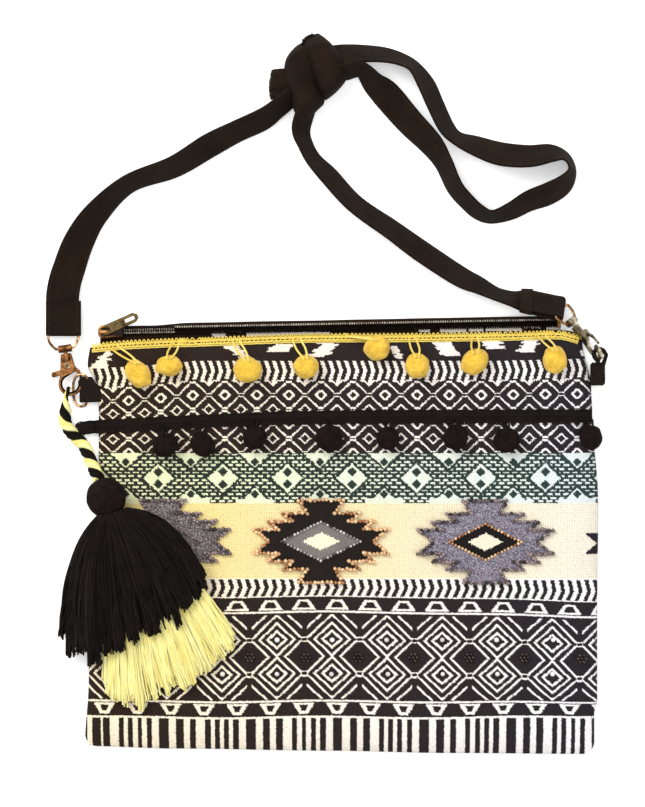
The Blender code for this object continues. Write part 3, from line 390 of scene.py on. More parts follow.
# The runs: x and y of the middle, seen width, and the clearance under the strap where it isn't lying flat
LEFT_RUN = [(-168.5, 145.9, 19.6, 1.9), (-168.5, 146.7, 19.6, 1.9), (-168.4, 151, 19.6, 1.5),
            (-167.2, 158, 19.4, 0.8),
            (-165, 165.3, 19), (-158.4, 182.7, 17), (-147.6, 199.5, 13),
            (-128.4, 216.9, 9), (-101.4, 227.1, 11), (-80.4, 239.7, 12.5), (-64.2, 248.1, 11),
            (-48.6, 255.3, 11), (-40.2, 261.3, 9.5), (-30, 270, 9.5)]
RIGHT_RUN = [(-22, 262, 10), (-25.2, 249.3, 10), (-22.2, 239.7, 8.5), (-17.4, 231.3, 9), (-8.4, 221.7, 11),
             (7.2, 204.9, 11), (29.4, 189.3, 12), (46.8, 176.7, 13), (69.6, 161.7, 12.5), (81, 156.3, 10.5),
             (91.8, 150.9, 8), (101, 148, 9), (106, 147, 11.5), (111.6, 146.3, 12.8, 1.6),
             (113.2, 146.1, 13, 1.6)]
LOOP_RUN = [(-6, 283, 7), (1.8, 283.8, 7), (10.8, 285.3, 7), (18.6, 276.9, 12), (26.4, 270, 16),
            (39.6, 254.7, 15), (52.8, 240.9, 12.5), (60.3, 229.5, 9), (66.9, 215.1, 8), (74.4, 206.1, 7.5),
            (81.6, 199.8, 7), (89.4, 197.1, 6), (100.8, 200.7, 9), (111.6, 206.7, 11), (123.6, 211.2, 12),
            (133, 217, 10), (137.4, 225.3, 5), (133.6, 233.1, 6), (124.9, 235.3, 11), (111.6, 233.6, 13.5),
            (94.8, 234.9, 14.5), (79.5, 239.7, 12.5), (68.4, 244.2, 9), (61.8, 251.1, 10), (55.2, 264.9, 10.5),
            (49.8, 276.9, 10.5), (42.9, 286.8, 8), (35.4, 291.3, 8.5), (24.6, 294.2, 10), (10.2, 295, 11.5),
            (0, 294, 14), (-8, 292.5, 15)]


def ribbon(name, route, lean, grow=0.0):
    """The canvas ribbon, with rounded edges and a slight cup; returns the piece and its middle line."""
    points = smooth_route([Vector((*spot, LYING_CLEAR)[:4]) for spot in route], STRAP_STEP)
    section = ([(-1, 0)] + [(-0.985 + 1.97 * k / 10, 1) for k in range(11)]
               + [(1, 0)] + [(0.985 - 1.97 * k / 10, -1) for k in range(11)])
    verts, uvs, middles = [], [], []
    run = 0.0
    for k, point in enumerate(points):
        ahead = points[min(k + 1, len(points) - 1)] - points[max(k - 1, 0)]
        run += 0 if k == 0 else (point - points[k - 1]).to_2d().length * MM
        side = Vector((-ahead.y, ahead.x, 0)).normalized()
        roll = lean * math.acos(min(max(point.z / (STRAP_WIDTH / MM), 0.12), 1.0))
        across = side * math.cos(roll) + Vector((0, 0, math.sin(roll)))
        facing = side * -math.sin(roll) + Vector((0, 0, math.cos(roll)))
        half, thick = STRAP_WIDTH / 2 + grow, STRAP_THICKNESS / 2 + grow
        height = point.w * MM + half * abs(math.sin(roll)) + thick * math.cos(roll)
        middle = Vector((point.x * MM, point.y * MM, height))
        wobble = noise.noise(Vector((point.x, point.y, 3)) * 0.045) * 0.9 * MM
        middles.append(middle)
        for a, b in section:
            cup = facing * (math.sin(math.pi * (a + 1) / 2) * wobble * math.sin(abs(roll)))
            verts.append(middle + across * a * half + facing * b * thick * (1 - 0.15 * a * a) + cup)
            uvs.append((run, a * half))
    piece = add_mesh(name, verts, sleeve_faces(len(points), len(section)), CANVAS, uvs, 50)
    return settle(piece, "root"), middles


def run_length(points):
    """How long a line of points is."""
    return sum((b - a).length for a, b in zip(points, points[1:]))


strap_left, left_line = ribbon("strap_left", LEFT_RUN, 1)
strap_right, right_line = ribbon("strap_right", RIGHT_RUN, -1)
strap_bight, bight_line = ribbon("strap_bight", LOOP_RUN, 1)
ribbon("strap_keeper", [(106.2, 147, 11.6, 0.9), (110, 146.4, 12.6, 1.2), (113.4, 146, 13.2, 1.4)], -1, 0.9 * MM)
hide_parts("strap_left_run")
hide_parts("strap_right_run")
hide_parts("strap_loop")


# Knot.
# The overhand knot in the doubled strap: two broad wraps with a dark crease between them, a square fold
# of strap coming out on the left, and a darker turn behind their top.
def wrap(name, left, right, base, crown, lead=0.0, tail=0.0):
    """A crowned band between two edges, which comes down to the layer below along both of them."""
    lefts = smooth_route([place(x, y) for x, y in left], 1.5 * MM)
    rights = smooth_route([place(x, y) for x, y in right], 1.5 * MM)
    rows, cols = 30, 20
    verts, uvs = [], []
    run, last = 0.0, None
    for i in range(rows + 1):
        s = i / rows
        a, b = lefts[round(s * (len(lefts) - 1))], rights[round(s * (len(rights) - 1))]
        middle = (a + b) / 2
        run += (middle - last).length if last else 0
        last = middle
        ends = min(1.0, lead + s * 5) * min(1.0, tail + (1 - s) * 5)
        for j in range(cols + 1):
            t = j / cols
            arch = math.sin(math.pi * t) ** 0.55 * ends ** 0.6
            ripple = noise.noise(Vector((t * 3, s * 5, len(name)))) * 0.6
            z = base + (crown - base) * arch + ripple * arch
            point = a.lerp(b, 0.5 - 0.5 * math.cos(math.pi * t))
            verts.append(Vector((point.x, point.y, z * MM)))
            uvs.append((run, (t - 0.5) * STRAP_WIDTH))
    piece = add_mesh(name, verts, cloth_faces(rows + 1, cols + 1), CANVAS, uvs, 60)
    thicken(piece, 1.2, -1)
    return settle(piece, "root")


knot_pieces = [
    wrap("knot_left_wrap", [(297, 47), (289, 57), (286, 68), (288, 82), (292, 94), (296, 110), (303, 122)],
         [(311, 40), (312, 55), (314, 68), (317, 82), (320, 92), (323, 99), (321, 104)], 2.0, 18.5, 0.1, 0.1),
    wrap("knot_right_wrap", [(304, 40), (305, 50), (309, 62), (313, 73), (317, 84), (321, 92), (323, 98)],
         [(318, 34.5), (329, 44), (339, 57), (344.5, 70), (343.5, 80), (334, 91), (325, 98)], 3.0, 20.6, 0.1, 0.1),
    wrap("knot_square_fold", [(272.5, 71), (271, 80), (270.5, 90), (271.5, 97)],
         [(296, 70), (297, 80), (297, 90), (297, 99)], 1.5, 10.5, 0.75, 0.6),
    wrap("knot_under_turn", [(302, 116), (300, 100), (304, 84), (312, 70), (322, 62)],
         [(315, 112), (324, 98), (332, 86), (338, 76), (340, 66)], 1.0, 11, 0.5, 0.5),
    wrap("knot_top_turn", [(298, 50), (301, 43), (306, 36), (312, 33.5)],
         [(303, 47), (307, 44), (312, 40), (316, 36)], 2.0, 12, 0.6, 0.5),
]
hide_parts("strap_knot")


# Strap ends.
# Each end of the strap is folded round its ring's bar and stitched down to itself.
RING_HEIGHT = 10 * MM


def turned(where, *turns):
    """A place in millimetres with turns in degrees about its own axes."""
    made = Matrix.Translation(Vector(where) * MM)
    for angle, axis in turns:
        made = made @ Matrix.Rotation(math.radians(angle), 4, axis)
    return made


LEFT_FRAME = turned((-167.0, 118.2, 4.6), (8.5, "Z"))
RIGHT_RING = turned((136.8, 134.1, 10.5), (39, "Z"), (-3.6, "X"), (52, "Y"))


def strap_fold(name, frame_of, body, node, half=9.9):
    """Two plies of strap with the bar between them; +Y runs away from the hook, and half is half its width."""
    path = ([(18.75, 1.25), (12, 1.35), (6, 1.5), (2, 1.75)]
            + [(1.9 * math.cos(a), 1.9 * math.sin(a)) for a in [math.pi / 2 + math.pi * k / 8 for k in range(9)]]
            + [(2, -1.75), (6, -1.5), (12, -1.35), (18.75, -1.25)])
    route = smooth_route([Vector((0, y, z)) * MM for y, z in path], 0.6 * MM)
    cols = 14
    verts, uvs = [], []
    run = 0.0
    for i, point in enumerate(route):
        ahead = route[min(i + 1, len(route) - 1)] - route[max(i - 1, 0)]
        out = Vector((0, -ahead.z, ahead.y)).normalized() * -0.55 * MM
        run += 0 if i == 0 else (point - route[i - 1]).length
        for side in (1, -1):
            for j in range(cols + 1):
                x = (-1 + 2 * j / cols) * side
                edge = max(0.0, abs(x) - 0.88) / 0.12
                verts.append(Vector((x * half * MM, 0, 0)) + point + out * side * math.sqrt(1 - 0.8 * edge * edge))
                uvs.append((run, x * half * MM))
    faces = sleeve_faces(len(route), 2 * (cols + 1))
    piece = add_mesh(name, [frame_of @ v for v in verts], faces, CANVAS, uvs, 50)
    settle(piece, body, node)


strap_fold("left_strap_fold", LEFT_FRAME @ Matrix.Translation((0, RING_HEIGHT, 0))
           @ Matrix.Rotation(math.radians(-8.5), 4, "Z") @ Matrix.Translation((0.5 * MM, 0, 0)),
           "left_ring", "left_strap_end", 10.5)
strap_fold("right_strap_fold", Matrix.Translation(RIGHT_RING @ Vector((0, RING_HEIGHT, 0)))
           @ Matrix.Rotation(math.radians(77), 4, "Z") @ Matrix.Rotation(math.radians(50), 4, "Y"),
           "right_ring", "right_strap_end")

run_length(left_line)
run_length(right_line)
run_length(bight_line)


# Tassel.
# A black and pale-yellow twisted cord hangs from the left hook, with a felted black ball and two tiers of
# loose yarn: a black skirt over a longer yellow one. The strands are laid one by one, in clumps.
def yarn(dark, light, sheen=0.3):
    """Soft spun yarn: fine fibres along it, uneven colour."""
    def build():
        where = coordinates()
        tone = attribute("tone")
        fibres = noise_at(where, 2600, 2)
        patches = noise_at(where, 140, 2)
        shade = tone * 0.45 + fibres * 0.5 + patches * 0.4
        return {"color": mix(ramp(shade, 0.35, 1.05), dark, light), "rough": 0.95, "height": fibres,
                "depth": 0.0002, "sheen": sheen}
    return build


BLACK_YARN = material("black_yarn", yarn(srgb(3, 2, 2), srgb(38, 31, 26), 0.0))
PALE_YARN = material("pale_yellow_yarn", yarn(srgb(240, 222, 118), srgb(255, 253, 190)))
BRAID_YARN = material("braid_yarn", yarn(srgb(232, 196, 62), srgb(255, 236, 130)))


def baked(holder):
    """The mesh that an object comes out as; the object itself goes."""
    bpy.context.scene.collection.objects.link(holder)
    bpy.context.view_layer.update()
    mesh = bpy.data.meshes.new_from_object(holder.evaluated_get(bpy.context.evaluated_depsgraph_get()))
    bpy.data.objects.remove(holder)
    return mesh


def set_tones(mesh, values):
    """A tone from 0 to 1 for each point of a mesh, which its material reads."""
    mesh.attributes.new("tone", "FLOAT", "POINT").data.foreach_set("value", values)


def tubes(name, routes, radius, coat, body, sides=1, widths=None):
    """Many strands as one mesh piece; each strand has a tone of its own."""
    curve = bpy.data.curves.new(name, "CURVE")
    curve.dimensions = "3D"
    curve.bevel_depth = radius
    curve.bevel_resolution = sides
    curve.use_fill_caps = True
    for index, route in enumerate(routes):
        line = curve.splines.new("POLY")
        line.points.add(len(route) - 1)
        for k, point in enumerate(route):
            line.points[k].co = (*point, 1)
            line.points[k].radius = widths[index][k] if widths else 1.0
    mesh = baked(bpy.data.objects.new(name, curve))
    ring = 4 + 2 * sides
    values = []
    for route in routes:
        values += [random.random()] * (len(route) * ring)
    set_tones(mesh, (values + [0.5] * len(mesh.vertices))[:len(mesh.vertices)])
    mesh.shade_smooth()
    return settle(new_piece(name, mesh, coat), body)


def helix(middles, radius, pitch, phase):
    """A strand that winds round a middle line."""
    route = []
    run = 0.0
    for k, point in enumerate(middles):
        ahead = (middles[min(k + 1, len(middles) - 1)] - middles[max(k - 1, 0)]).normalized()
        run += 0 if k == 0 else (point - middles[k - 1]).length
        side = ahead.cross(Vector((0, 0, 1))).normalized()
        up = side.cross(ahead)
        angle = math.tau * run / pitch + phase
        route.append(point + side * math.cos(angle) * radius + up * math.sin(angle) * radius)
    return route


CORD_ROUTE = [(-166.8, 81.3, 4.8), (-166.8, 73.5, 4.6), (-161.4, 65.7, 4.7), (-155.4, 59.7, 6.4),
              (-151.8, 51.9, 9.5), (-148.6, 45.3, 13.5), (-145.4, 38.6, 18)]
BOW_CENTRE_Y = -21.5 * MM
LOOP_ANGLE = math.radians(243)
BALL_PLACE = Vector((-141, 29.1, 24)) * MM
BALL_RADIUS = 12.4 * MM
BALL_FLATNESS = 0.84

loop_out = Vector((math.cos(LOOP_ANGLE), math.sin(LOOP_ANGLE), 0))
loop_hub = Vector((0, BOW_CENTRE_Y, 0)) + loop_out * 6 * MM
loop_line = [LEFT_FRAME @ (loop_hub - loop_out * 3.2 * MM * math.cos(math.radians(a))
                           + Vector((0, 0, 3.2 * MM * math.sin(math.radians(a))))) for a in range(-14, 136, 6)]
cord_line = smooth_route(loop_line[-1:] + [Vector(p) * MM for p in CORD_ROUTE], 0.8 * MM)
tassel_line = loop_line + cord_line[1:]
cord_widths = [min(1.0, 0.36 + max(0.0, k - len(loop_line)) * 0.06) for k in range(len(tassel_line))]
for strand_name, strand_coat, phase in (("tassel_cord_black", BLACK_YARN, 0.0),
                                        ("tassel_cord_pale", PALE_YARN, math.pi)):
    strands = []
    for turn in (-0.55, 0.55):
        base = helix(tassel_line, 1.0, 15 * MM, phase + turn)
        strands.append([middle + (point - middle) * 2.15 * MM * share
                        for middle, point, share in zip(tassel_line, base, cord_widths)])
    tassel_strand = tubes(strand_name, strands, 1.85 * MM, strand_coat, "tassel", 3,
                          [cord_widths] * len(strands))
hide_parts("tassel_cord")


def along(points, share):
    """The point at a share of a line of points."""
    spot = min(max(share, 0.0), 1.0) * (len(points) - 1)
    k = min(int(spot), len(points) - 2)
    return points[k].lerp(points[k + 1], spot - k)


SKIRT_CLUMPS = 64
STRAND_POINTS = 15


def skirt(name, neck, ends, bulges, layers, count, coat, gap_share):
    """Loose yarn strands in clumps that fan out from a neck to an uneven hem."""
    neck = [Vector(p) for p in neck]
    ends = [Vector(p) for p in ends]
    routes = []
    clumps = [((k + random.random()) / SKIRT_CLUMPS, random.uniform(0.9, 1.035), random.uniform(-3.2, 3.2))
              for k in range(SKIRT_CLUMPS)]
    for _ in range(count):
        middle, length, lean = random.choice(clumps)
        f = min(max(middle + random.gauss(0, 0.011), 0), 1)
        layer = random.random()
        start = along(neck, f + random.uniform(-0.05, 0.05))
        finish = along(ends, f + random.uniform(-0.012, 0.012))
        finish = start.lerp(finish, length - abs(random.gauss(0, gap_share)))
        aim = (finish - start).normalized()
        side = Vector((-aim.y, aim.x))
        bulge = (bulges[0] * (1 - f) - bulges[1] * f) * random.uniform(0.85, 1.05)
        curl, sway = random.uniform(-1, 1), random.uniform(0, math.tau)
        route = []
        for k in range(STRAND_POINTS):
            s = k / (STRAND_POINTS - 1)
            flat = start.lerp(finish, s) - side * bulge * 4 * s * (1 - s) * (1 - 0.35 * s)
            waves = 0.9 * math.sin(s * 5 + sway) + 0.8 * math.sin(s * 13 + sway * 2)
            flat += side * (curl * waves * s + lean * s ** 3)
            route.append(Vector((flat.x, flat.y, layers(flat.x, flat.y, s, layer))) * MM)
        routes.append(route)
    return tubes(name, routes, 0.5 * MM, coat, "tassel", 0)


def body_side(x):
    """0 over the bag, 1 well past its left edge."""
    return max(0.0, min(1.0, (-151.5 - x) / 12))


def black_layer(x, y, s, layer):
    """Height of a black strand at a share of its length; it drops past the bag's edge."""
    low, top = 20.6 - 16 * body_side(x), 30.5 - 14 * body_side(x)
    dome = math.sin(math.pi * min(0.9, 0.2 + s * 0.75)) ** 0.5
    return low + (top - low) * layer * dome + (1 - s) ** 3 * 2


def pale_layer(x, y, s, layer):
    """Height of a yellow strand, which lies between the bag and the black ones."""
    dome = math.sin(math.pi * min(0.93, 0.15 + s * 0.75)) ** 0.5
    return 14.8 + 5.8 * layer * dome


black_skirt = skirt("black_skirt_yarn", [(-146, 18.5), (-138, 20), (-129, 23)],
                    [(-169, -60), (-160, -66), (-151.2, -69.5), (-140.4, -65.5), (-129, -62), (-122.4, -53),
                     (-111.6, -52), (-99.6, -47.5), (-92, -39), (-86, -29), (-82.5, -20)],
                    (10, 12), black_layer, 1600, BLACK_YARN, 0.055)
pale_skirt = skirt("pale_skirt_yarn", [(-139, 6), (-130, 8), (-121, 12)],
                   [(-141, -80), (-137, -89), (-130, -95), (-119.4, -98.5), (-109, -92), (-100, -87), (-90, -81),
                    (-80, -75), (-70, -65.5), (-62.5, -55)],
                   (2, 5), pale_layer, 1150, PALE_YARN, 0.05)
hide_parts("black_skirt")
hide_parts("yellow_skirt")


def felt(dark, light, glow):
    """Felted wool: short tangled fibres and uneven colour, with painted shade where its bump is low."""
    def build():
        where = coordinates()
        tangle = noise_at(where, 1500, 4, 0.7)
        clumps = noise_at(where, 260, 3)
        # The colour follows the bump: painted shade in the felt's hollows.
        shade = tangle * 0.6 + clumps * 0.7 + attribute("tone") * 0.2
        return {"color": mix(ramp(shade, 0.45, 0.95), dark, light), "rough": 0.96, "height": tangle + clumps,
                "depth": 0.0006, "sheen": glow}
    return build


BLACK_FELT = material("black_felt", felt(srgb(5, 4, 4), srgb(36, 24, 22), 0.0))
YELLOW_FELT = material("yellow_felt", felt(srgb(214, 160, 34), srgb(252, 214, 84), 0.25))


def fuzz_ball(name, middle, radius, height, coat, body, node, lumps=0.05, fibres=900, crease=None):
    """A wool ball: an uneven felted core with short fibres standing out of it."""
    edit = bmesh.new()
    bmesh.ops.create_icosphere(edit, subdivisions=5, radius=1)
    seed = Vector((middle.x, middle.y, 0)) * 400
    size = Vector((radius, radius, height / 2))

    def reach(normal):
        grow = 0.955 + lumps * noise.noise(normal * 1.6 + seed) + 0.018 * noise.noise(normal * 9 + seed)
        if crease:
            grow -= 0.12 * math.exp(-(normal.dot(crease) / 0.07) ** 2) * max(0.0, normal.z + 0.3)
        return grow

    for vert in edit.verts:
        normal = vert.co.normalized()
        vert.co = middle + Vector(c * s for c, s in zip(normal * reach(normal), size))
    for _ in range(fibres):
        normal = Vector(random.gauss(0, 1) for _ in range(3)).normalized()
        root = middle + Vector(c * s for c, s in zip(normal * (reach(normal) - 0.02), size))
        lean = (normal + Vector(random.gauss(0, 0.5) for _ in range(3))).normalized()
        across = lean.cross(Vector((random.random(), 1, random.random()))).normalized() * 0.045 * MM
        tip = root + lean * random.uniform(0.5, 1.15) * MM
        edit.faces.new([edit.verts.new(p) for p in (root - across, root + across, tip)])
    mesh = bpy.data.meshes.new(name)
    edit.to_mesh(mesh)
    edit.free()
    set_tones(mesh, [random.random() for _ in mesh.vertices])
    mesh.shade_smooth()
    return settle(new_piece(name, mesh, coat), body, node)


tassel_ball = fuzz_ball("tassel_wool_ball", BALL_PLACE, BALL_RADIUS, 2 * BALL_RADIUS * BALL_FLATNESS, BLACK_FELT,
                        "tassel", "tassel_ball", 0.03, 2500)
run_length(tassel_line)


# Front panel.
# Jacquard cotton woven in bands, quilted softly over the lining, with rolled edges and small puckers.
# The pattern is worked out in threads (0.6 mm each) that run with the cloth.
BODY_WIDTH = 306 * MM
BODY_HEIGHT = 246.6 * MM
LEFT_STRAY = [(0, 2.4), (0.17, 0.0), (0.72, -6), (0.88, -6), (0.94, 0.6), (1, -1.2)]
RIGHT_STRAY = [(0, -1.8), (0.09, -1.8), (0.12, 0.0), (0.34, 0.0), (0.61, 0.6), (0.82, -3), (0.88, -3.6), (1, -9)]
BOTTOM_STRAY = [(0, -2.4), (0.17, -0.9), (0.47, 0.4), (0.71, 1.8), (1, 2.4)]
TOP_STRAY = [(0, -4.5), (0.1, -1), (0.2, 0.8), (0.48, 3.3), (0.8, 4), (0.93, 6), (1, 2)]
SEAM_Z, FLAT_Z, LIP_Z = 1.5 * MM, 9.8 * MM, 4.0 * MM
UV_SPAN = 1000


def stray(stops, share):
    """How far an edge strays outward at a share of its run."""
    for (s0, v0), (s1, v1) in zip(stops, stops[1:]):
        if share <= s1:
            t = max(0.0, (share - s0) / (s1 - s0))
            return (v0 + (v1 - v0) * (3 * t * t - 2 * t ** 3)) * MM
    return stops[-1][1] * MM


def left_edge(y):
    return -BODY_WIDTH / 2 - stray(LEFT_STRAY, y / BODY_HEIGHT + 0.5)


def right_edge(y):
    return BODY_WIDTH / 2 + stray(RIGHT_STRAY, y / BODY_HEIGHT + 0.5)


def bottom_edge(x):
    return -BODY_HEIGHT / 2 - stray(BOTTOM_STRAY, x / BODY_WIDTH + 0.5)


def top_edge(x):
    return BODY_HEIGHT / 2 + stray(TOP_STRAY, x / BODY_WIDTH + 0.5)


def round_rise(distance, reach):
    t = min(max(distance / reach, 0.0), 1.0)
    return math.sqrt(1 - (1 - t) ** 2)


def side_rise(x, y, reach):
    return (round_rise(x - left_edge(y), reach) * round_rise(right_edge(y) - x, reach)
            * round_rise(y - bottom_edge(x), reach))


def cloth_height(x, y):
    """Outer face of the front panel."""
    top = round_rise(top_edge(x) - y, 20 * MM)
    lip = (LIP_Z - SEAM_Z) * side_rise(x, y, 4 * MM) * (1 - top)
    base = SEAM_Z + (FLAT_Z - SEAM_Z) * side_rise(x, y, 24 * MM) * top + lip
    return base + 1.2 * MM


def puckers(x, y):
    """Small waves in the cloth, strongest beside the seams."""
    rim = min(x - left_edge(y), right_edge(y) - x, y - bottom_edge(x), top_edge(x) - y)
    near = math.exp(-max(rim, 0.0) / (16 * MM)) * min(1.0, max(rim, 0.0) / (5 * MM))
    broad = noise.noise(Vector((x * 22, y * 22, 0.3))) * 0.5
    fine = noise.noise(Vector((x * 95, y * 95, 4.1)))
    return (broad * min(1.0, max(rim, 0.0) / (15 * MM)) + fine * near * 1.1) * MM


def eased(value, low, high):
    t = min(max((value - low) / (high - low), 0.0), 1.0)
    return t * t * (3 - 2 * t)


def thread_place(x, y):
    """Where a point of the cloth falls in the woven pattern, in threads."""
    px, py = seen(x, y)
    droop = 6.5 * eased(210 - px, 0, 100) * (1 - eased(py, 395, 450))
    sag = 5 * eased(px, 400, 600) * eased(py, 572, 600) * (1 - eased(py, 680, 716))
    lines = 0.9 * math.sin(px * 0.031 + 1) * eased(py, 585, 600)
    tilt = 2 * eased(px, 480, 600) * (1 - eased(py, 360, 450))
    return px, py - droop - sag - lines + tilt


def shares(count, pull=0.45):
    """Grid shares, closer together towards both ends."""
    return [(1 - pull) * k / count + pull * (0.5 - 0.5 * math.cos(math.pi * k / count)) for k in range(count + 1)]


def rounded(a, b, reach=8 * MM):
    """Moves a place near a square corner so that the corner turns round; a and b are its distances from the sides."""
    da, db = reach - a, reach - b
    if da <= 0 or db <= 0:
        return a, b
    pull = max(da, db) / math.hypot(da, db)
    return reach - da * pull, reach - db * pull


def panel_grid(name, height, coat, columns, rows, inset=0.0, face_down=False):
    """A cloth panel over the bag's outline; its rim turns down to the height of the seam."""
    verts, uvs = [], []
    for v in shares(rows):
        for u in shares(columns):
            y = (v - 0.5) * BODY_HEIGHT
            for _ in range(4):
                low_x, high_x = left_edge(y) + inset, right_edge(y) - inset
                x = low_x + (high_x - low_x) * u
                low_y, high_y = bottom_edge(x) + inset, top_edge(x) - inset
                y = low_y + (high_y - low_y) * v
            from_side, from_bottom = rounded(min(x - low_x, high_x - x), y - low_y)
            x = low_x + from_side if u < 0.5 else high_x - from_side
            y = low_y + from_bottom
            px, py = thread_place(x, y)
            verts.append(Vector((x, y, height(x, y))))
            uvs.append((px / UV_SPAN, py / UV_SPAN))
    width = columns + 1
    faces = cloth_faces(rows + 1, width, face_down)
    if not face_down:
        rim = ([j for j in range(columns)] + [i * width + columns for i in range(rows)]
               + [rows * width + j for j in range(columns, 0, -1)] + [i * width for i in range(rows, 0, -1)])
        start = len(verts)
        for k in rim:
            verts.append(Vector((verts[k].x * 0.9965, verts[k].y * 0.996, verts[k].z - 1.15 * MM)))
            uvs.append(uvs[k])
        count = len(rim)
        for k in range(count):
            n = (k + 1) % count
            faces.append((rim[n], rim[k], start + k, start + n))
    return settle(add_mesh(name, verts, faces, coat, uvs, 75), "root")


def fold(value, period, centre):
    """Distance to the nearest repeat of a centre."""
    return abs((value - (centre - period / 2)) % period - period / 2)


def between(value, low, high):
    """Yes where a value lies between two others."""
    return (value > low) & (value < high)


# The brushed flames of the top band: middle and half width at the top and at the foot, then top and foot
IKAT = [(110, 97, 2, 8.5, 342.5, 362), (229, 249, 8, 5, 345, 360), (283, 279, 9, 13, 344, 352),
        (329, 317, 8, 11, 343, 357), (393, 400, 4, 3, 346, 359), (440, 452, 8, 10, 342, 356),
        (490, 496, 9, 8, 340, 349), (533, 524, 7, 9, 338, 353), (588, 586, 3, 5, 346, 358)]
# The dark bars of the bottom band, in threads from the start of each repeat
BARS = [(0, 9.7), (17, 24.3), (30.3, 36.9), (45.9, 51.2), (55.6, 60.4), (64.8, 69.6), (74, 79.5)]


def jacquard():
    u, v, _ = split(coordinates("UV"))
    where = coordinates()
    rough_edge = (noise_at(where, 1400, 1) - 0.5) * 2.3
    px = step("FLOOR", u * UV_SPAN + rough_edge) + 0.5
    py = step("FLOOR", v * UV_SPAN + rough_edge) + 0.5
    brush = noise_at(vector(px * 0.03, step("FLOOR", py / 1.6) * 0.83), 1.0, 1) - 0.5

    flames = []
    for top_x, low_x, top_w, low_w, top_y, low_y in IKAT:
        t = ramp(py, top_y, low_y)
        drift = abs(px - (t * (low_x - top_x) + top_x) + brush * 17)
        flames.append(between(py, top_y, low_y) & (drift < t * (low_w - top_w) + top_w))
    white = any_of(flames)

    column = fold(px, 32, 321) / 16
    lean = (1 - abs(py - 371) / 11) * 3.6
    strokes = ((px - lean) % 8 < 3.5) & between(py, 361, column * 6 + 378.5)
    white = white | strokes
    row = fold(py, 29, 395) / 14.5
    lattice = column + row
    rings = between(lattice, 0.24, 0.41) | between(2 - lattice, 0.24, 0.41)
    side_tip = ((1 - column) * 16 < 3.3) & (row * 14.5 < 3.3)
    top_tip = (column * 16 < 3.3) & ((1 - row) * 14.5 < 3.3)
    bars_apart = (side_tip & between(row * 14.5, 0.9, 2.2)) | (top_tip & between((1 - row) * 14.5, 0.9, 2.2))
    lines_crossed = ((abs(lattice - 1) < 0.075) & ~(side_tip | top_tip)) | bars_apart
    white = white | ((lines_crossed | rings) & between(py, 380, 453))

    line = step("FLOOR", py / 3.6)
    dash = ((px + (line % 2) * 4.3) % 8.6 < 5.4) & (py % 3.6 < 1.9)
    across, down = fold(px, 64.4, 223), abs(py - 478)
    full = across / 15.5 + down / 14.5 + brush * 0.35
    across2, down2 = fold(px, 64.4, 255.2), 25 - down
    half = across2 / 16 + down2 / 15 + brush * 0.4
    base = ((py > 490) & (down2 + brush * 8 < 4.5) & (across2 < 19))
    kites = ((full < 1) & ~(across + abs(down - 6.2) < 5)) | ((half < 1) & ~(across2 + abs(down2 - 9) < 4.6)) | base
    green = between(py, 453, 503)
    white = white | (green & (kites | (dash & (full > 1.22) & (half > 1.22))))

    plain = between(py, 503, 578)
    chevron = (px - (1 - abs(py - 587.5) / 10) * 4 + (py - 587) * 0.1) % 8.7 > 4.3
    white = white | plain | (between(py, 578, 597.4) & (chevron | ~between(py, 579, 596)))
    centre = fold(px, 33.2, 403.3)
    slope = ramp(py, 599.5, 609.5)
    outer = (centre < slope * 7 + 5) & between(py, 599.5, 609.6)
    inner = (centre < slope * 6 + 1.6) & between(py, 602.2, 608)
    white = white | (outer & ~inner) | between(py, 610.9, 612.6)

    low_row = py > 656.5
    dx, dy = fold(px, 55, 387), abs(py - low_row * 34.1 - 639.5)
    reach = dx + dy / 0.95
    outside = (py < 639.5) | (py > 673.6)
    lines = ((abs(reach - 9.2) < 1.6) | (abs(reach - 17.3) < 1.5) | (abs(reach - 26) < 1.4)
             | ((abs(reach - 37) < 1.5) & outside))
    joined = dx > 24.6
    lines = (lines & ~joined) | (joined & between(dy, 1.2, 3.0))
    white = white | (lines & between(py, 615, 699)) | between(py, 699.8, 701.6)
    slope2 = ramp(py, 713.5, 703)
    outer2 = (centre < slope2 * 6.5 + 4.5) & between(py, 703, 713.6)
    inner2 = (centre < slope2 * 4.5 + 1) & between(py, 705.4, 711)
    white = white | (outer2 & ~inner2)
    spot = (px - 332.6) % 86.6
    bars = any_of(between(spot, low, high) for low, high in BARS)
    bars = (bars & (px > 92)) | (px < 87.5) | between(px, 94, 101.5)
    white = white | ((py > 715.5) & ~(bars & (py > 717.5)))

    bow = between(px, 586, 612) & between(py, 533, 554) & (abs(py - 543.5) > (599 - px) * 0.8 - 1.5)
    white = white & ~(bow & (px < 601))

    side = ramp(px, 120, 560)
    blotch = noise_at(where, 45, 3)
    grain = noise_at(where, 1500, 2)
    dark = mix(side, srgb(33, 21, 14), srgb(27, 26, 36))
    dark = mix(green, dark, mix(side, srgb(34, 42, 32), srgb(36, 62, 60)))
    pale = mix(side, srgb(255, 240, 212), srgb(250, 246, 248))
    cream = mix(ramp(px, 200, 600), srgb(252, 230, 156), srgb(250, 244, 230))
    pale = mix(plain, pale, cream)
    pale = mix(green, pale, mix(side, srgb(236, 238, 190), srgb(228, 238, 238)))
    dots = (wave(u * UV_SPAN, 2.4) * wave(v * UV_SPAN, 2.0)) * plain
    slubs = ramp(noise_at(vector(u * 260, v * 1500), 1.0, 2), 0.52, 0.8)
    specks = ramp(noise_at(where, 2100, 1), 0.55, 0.8)
    pale = mix(dots * 0.34 + slubs * 0.4 + specks * 0.5, pale, srgb(142, 112, 70))
    dark = mix(grain * 0.2 + specks * 0.3, dark, srgb(92, 78, 66))
    ribs = wave(v * UV_SPAN, 1.0) * 0.6 + wave(u * UV_SPAN, 1.0) * 0.4
    return {"color": mix(white, dark, pale), "rough": 0.93, "height": ribs * 0.6 + white * 0.5 + grain * 0.4,
            "depth": 0.00022}


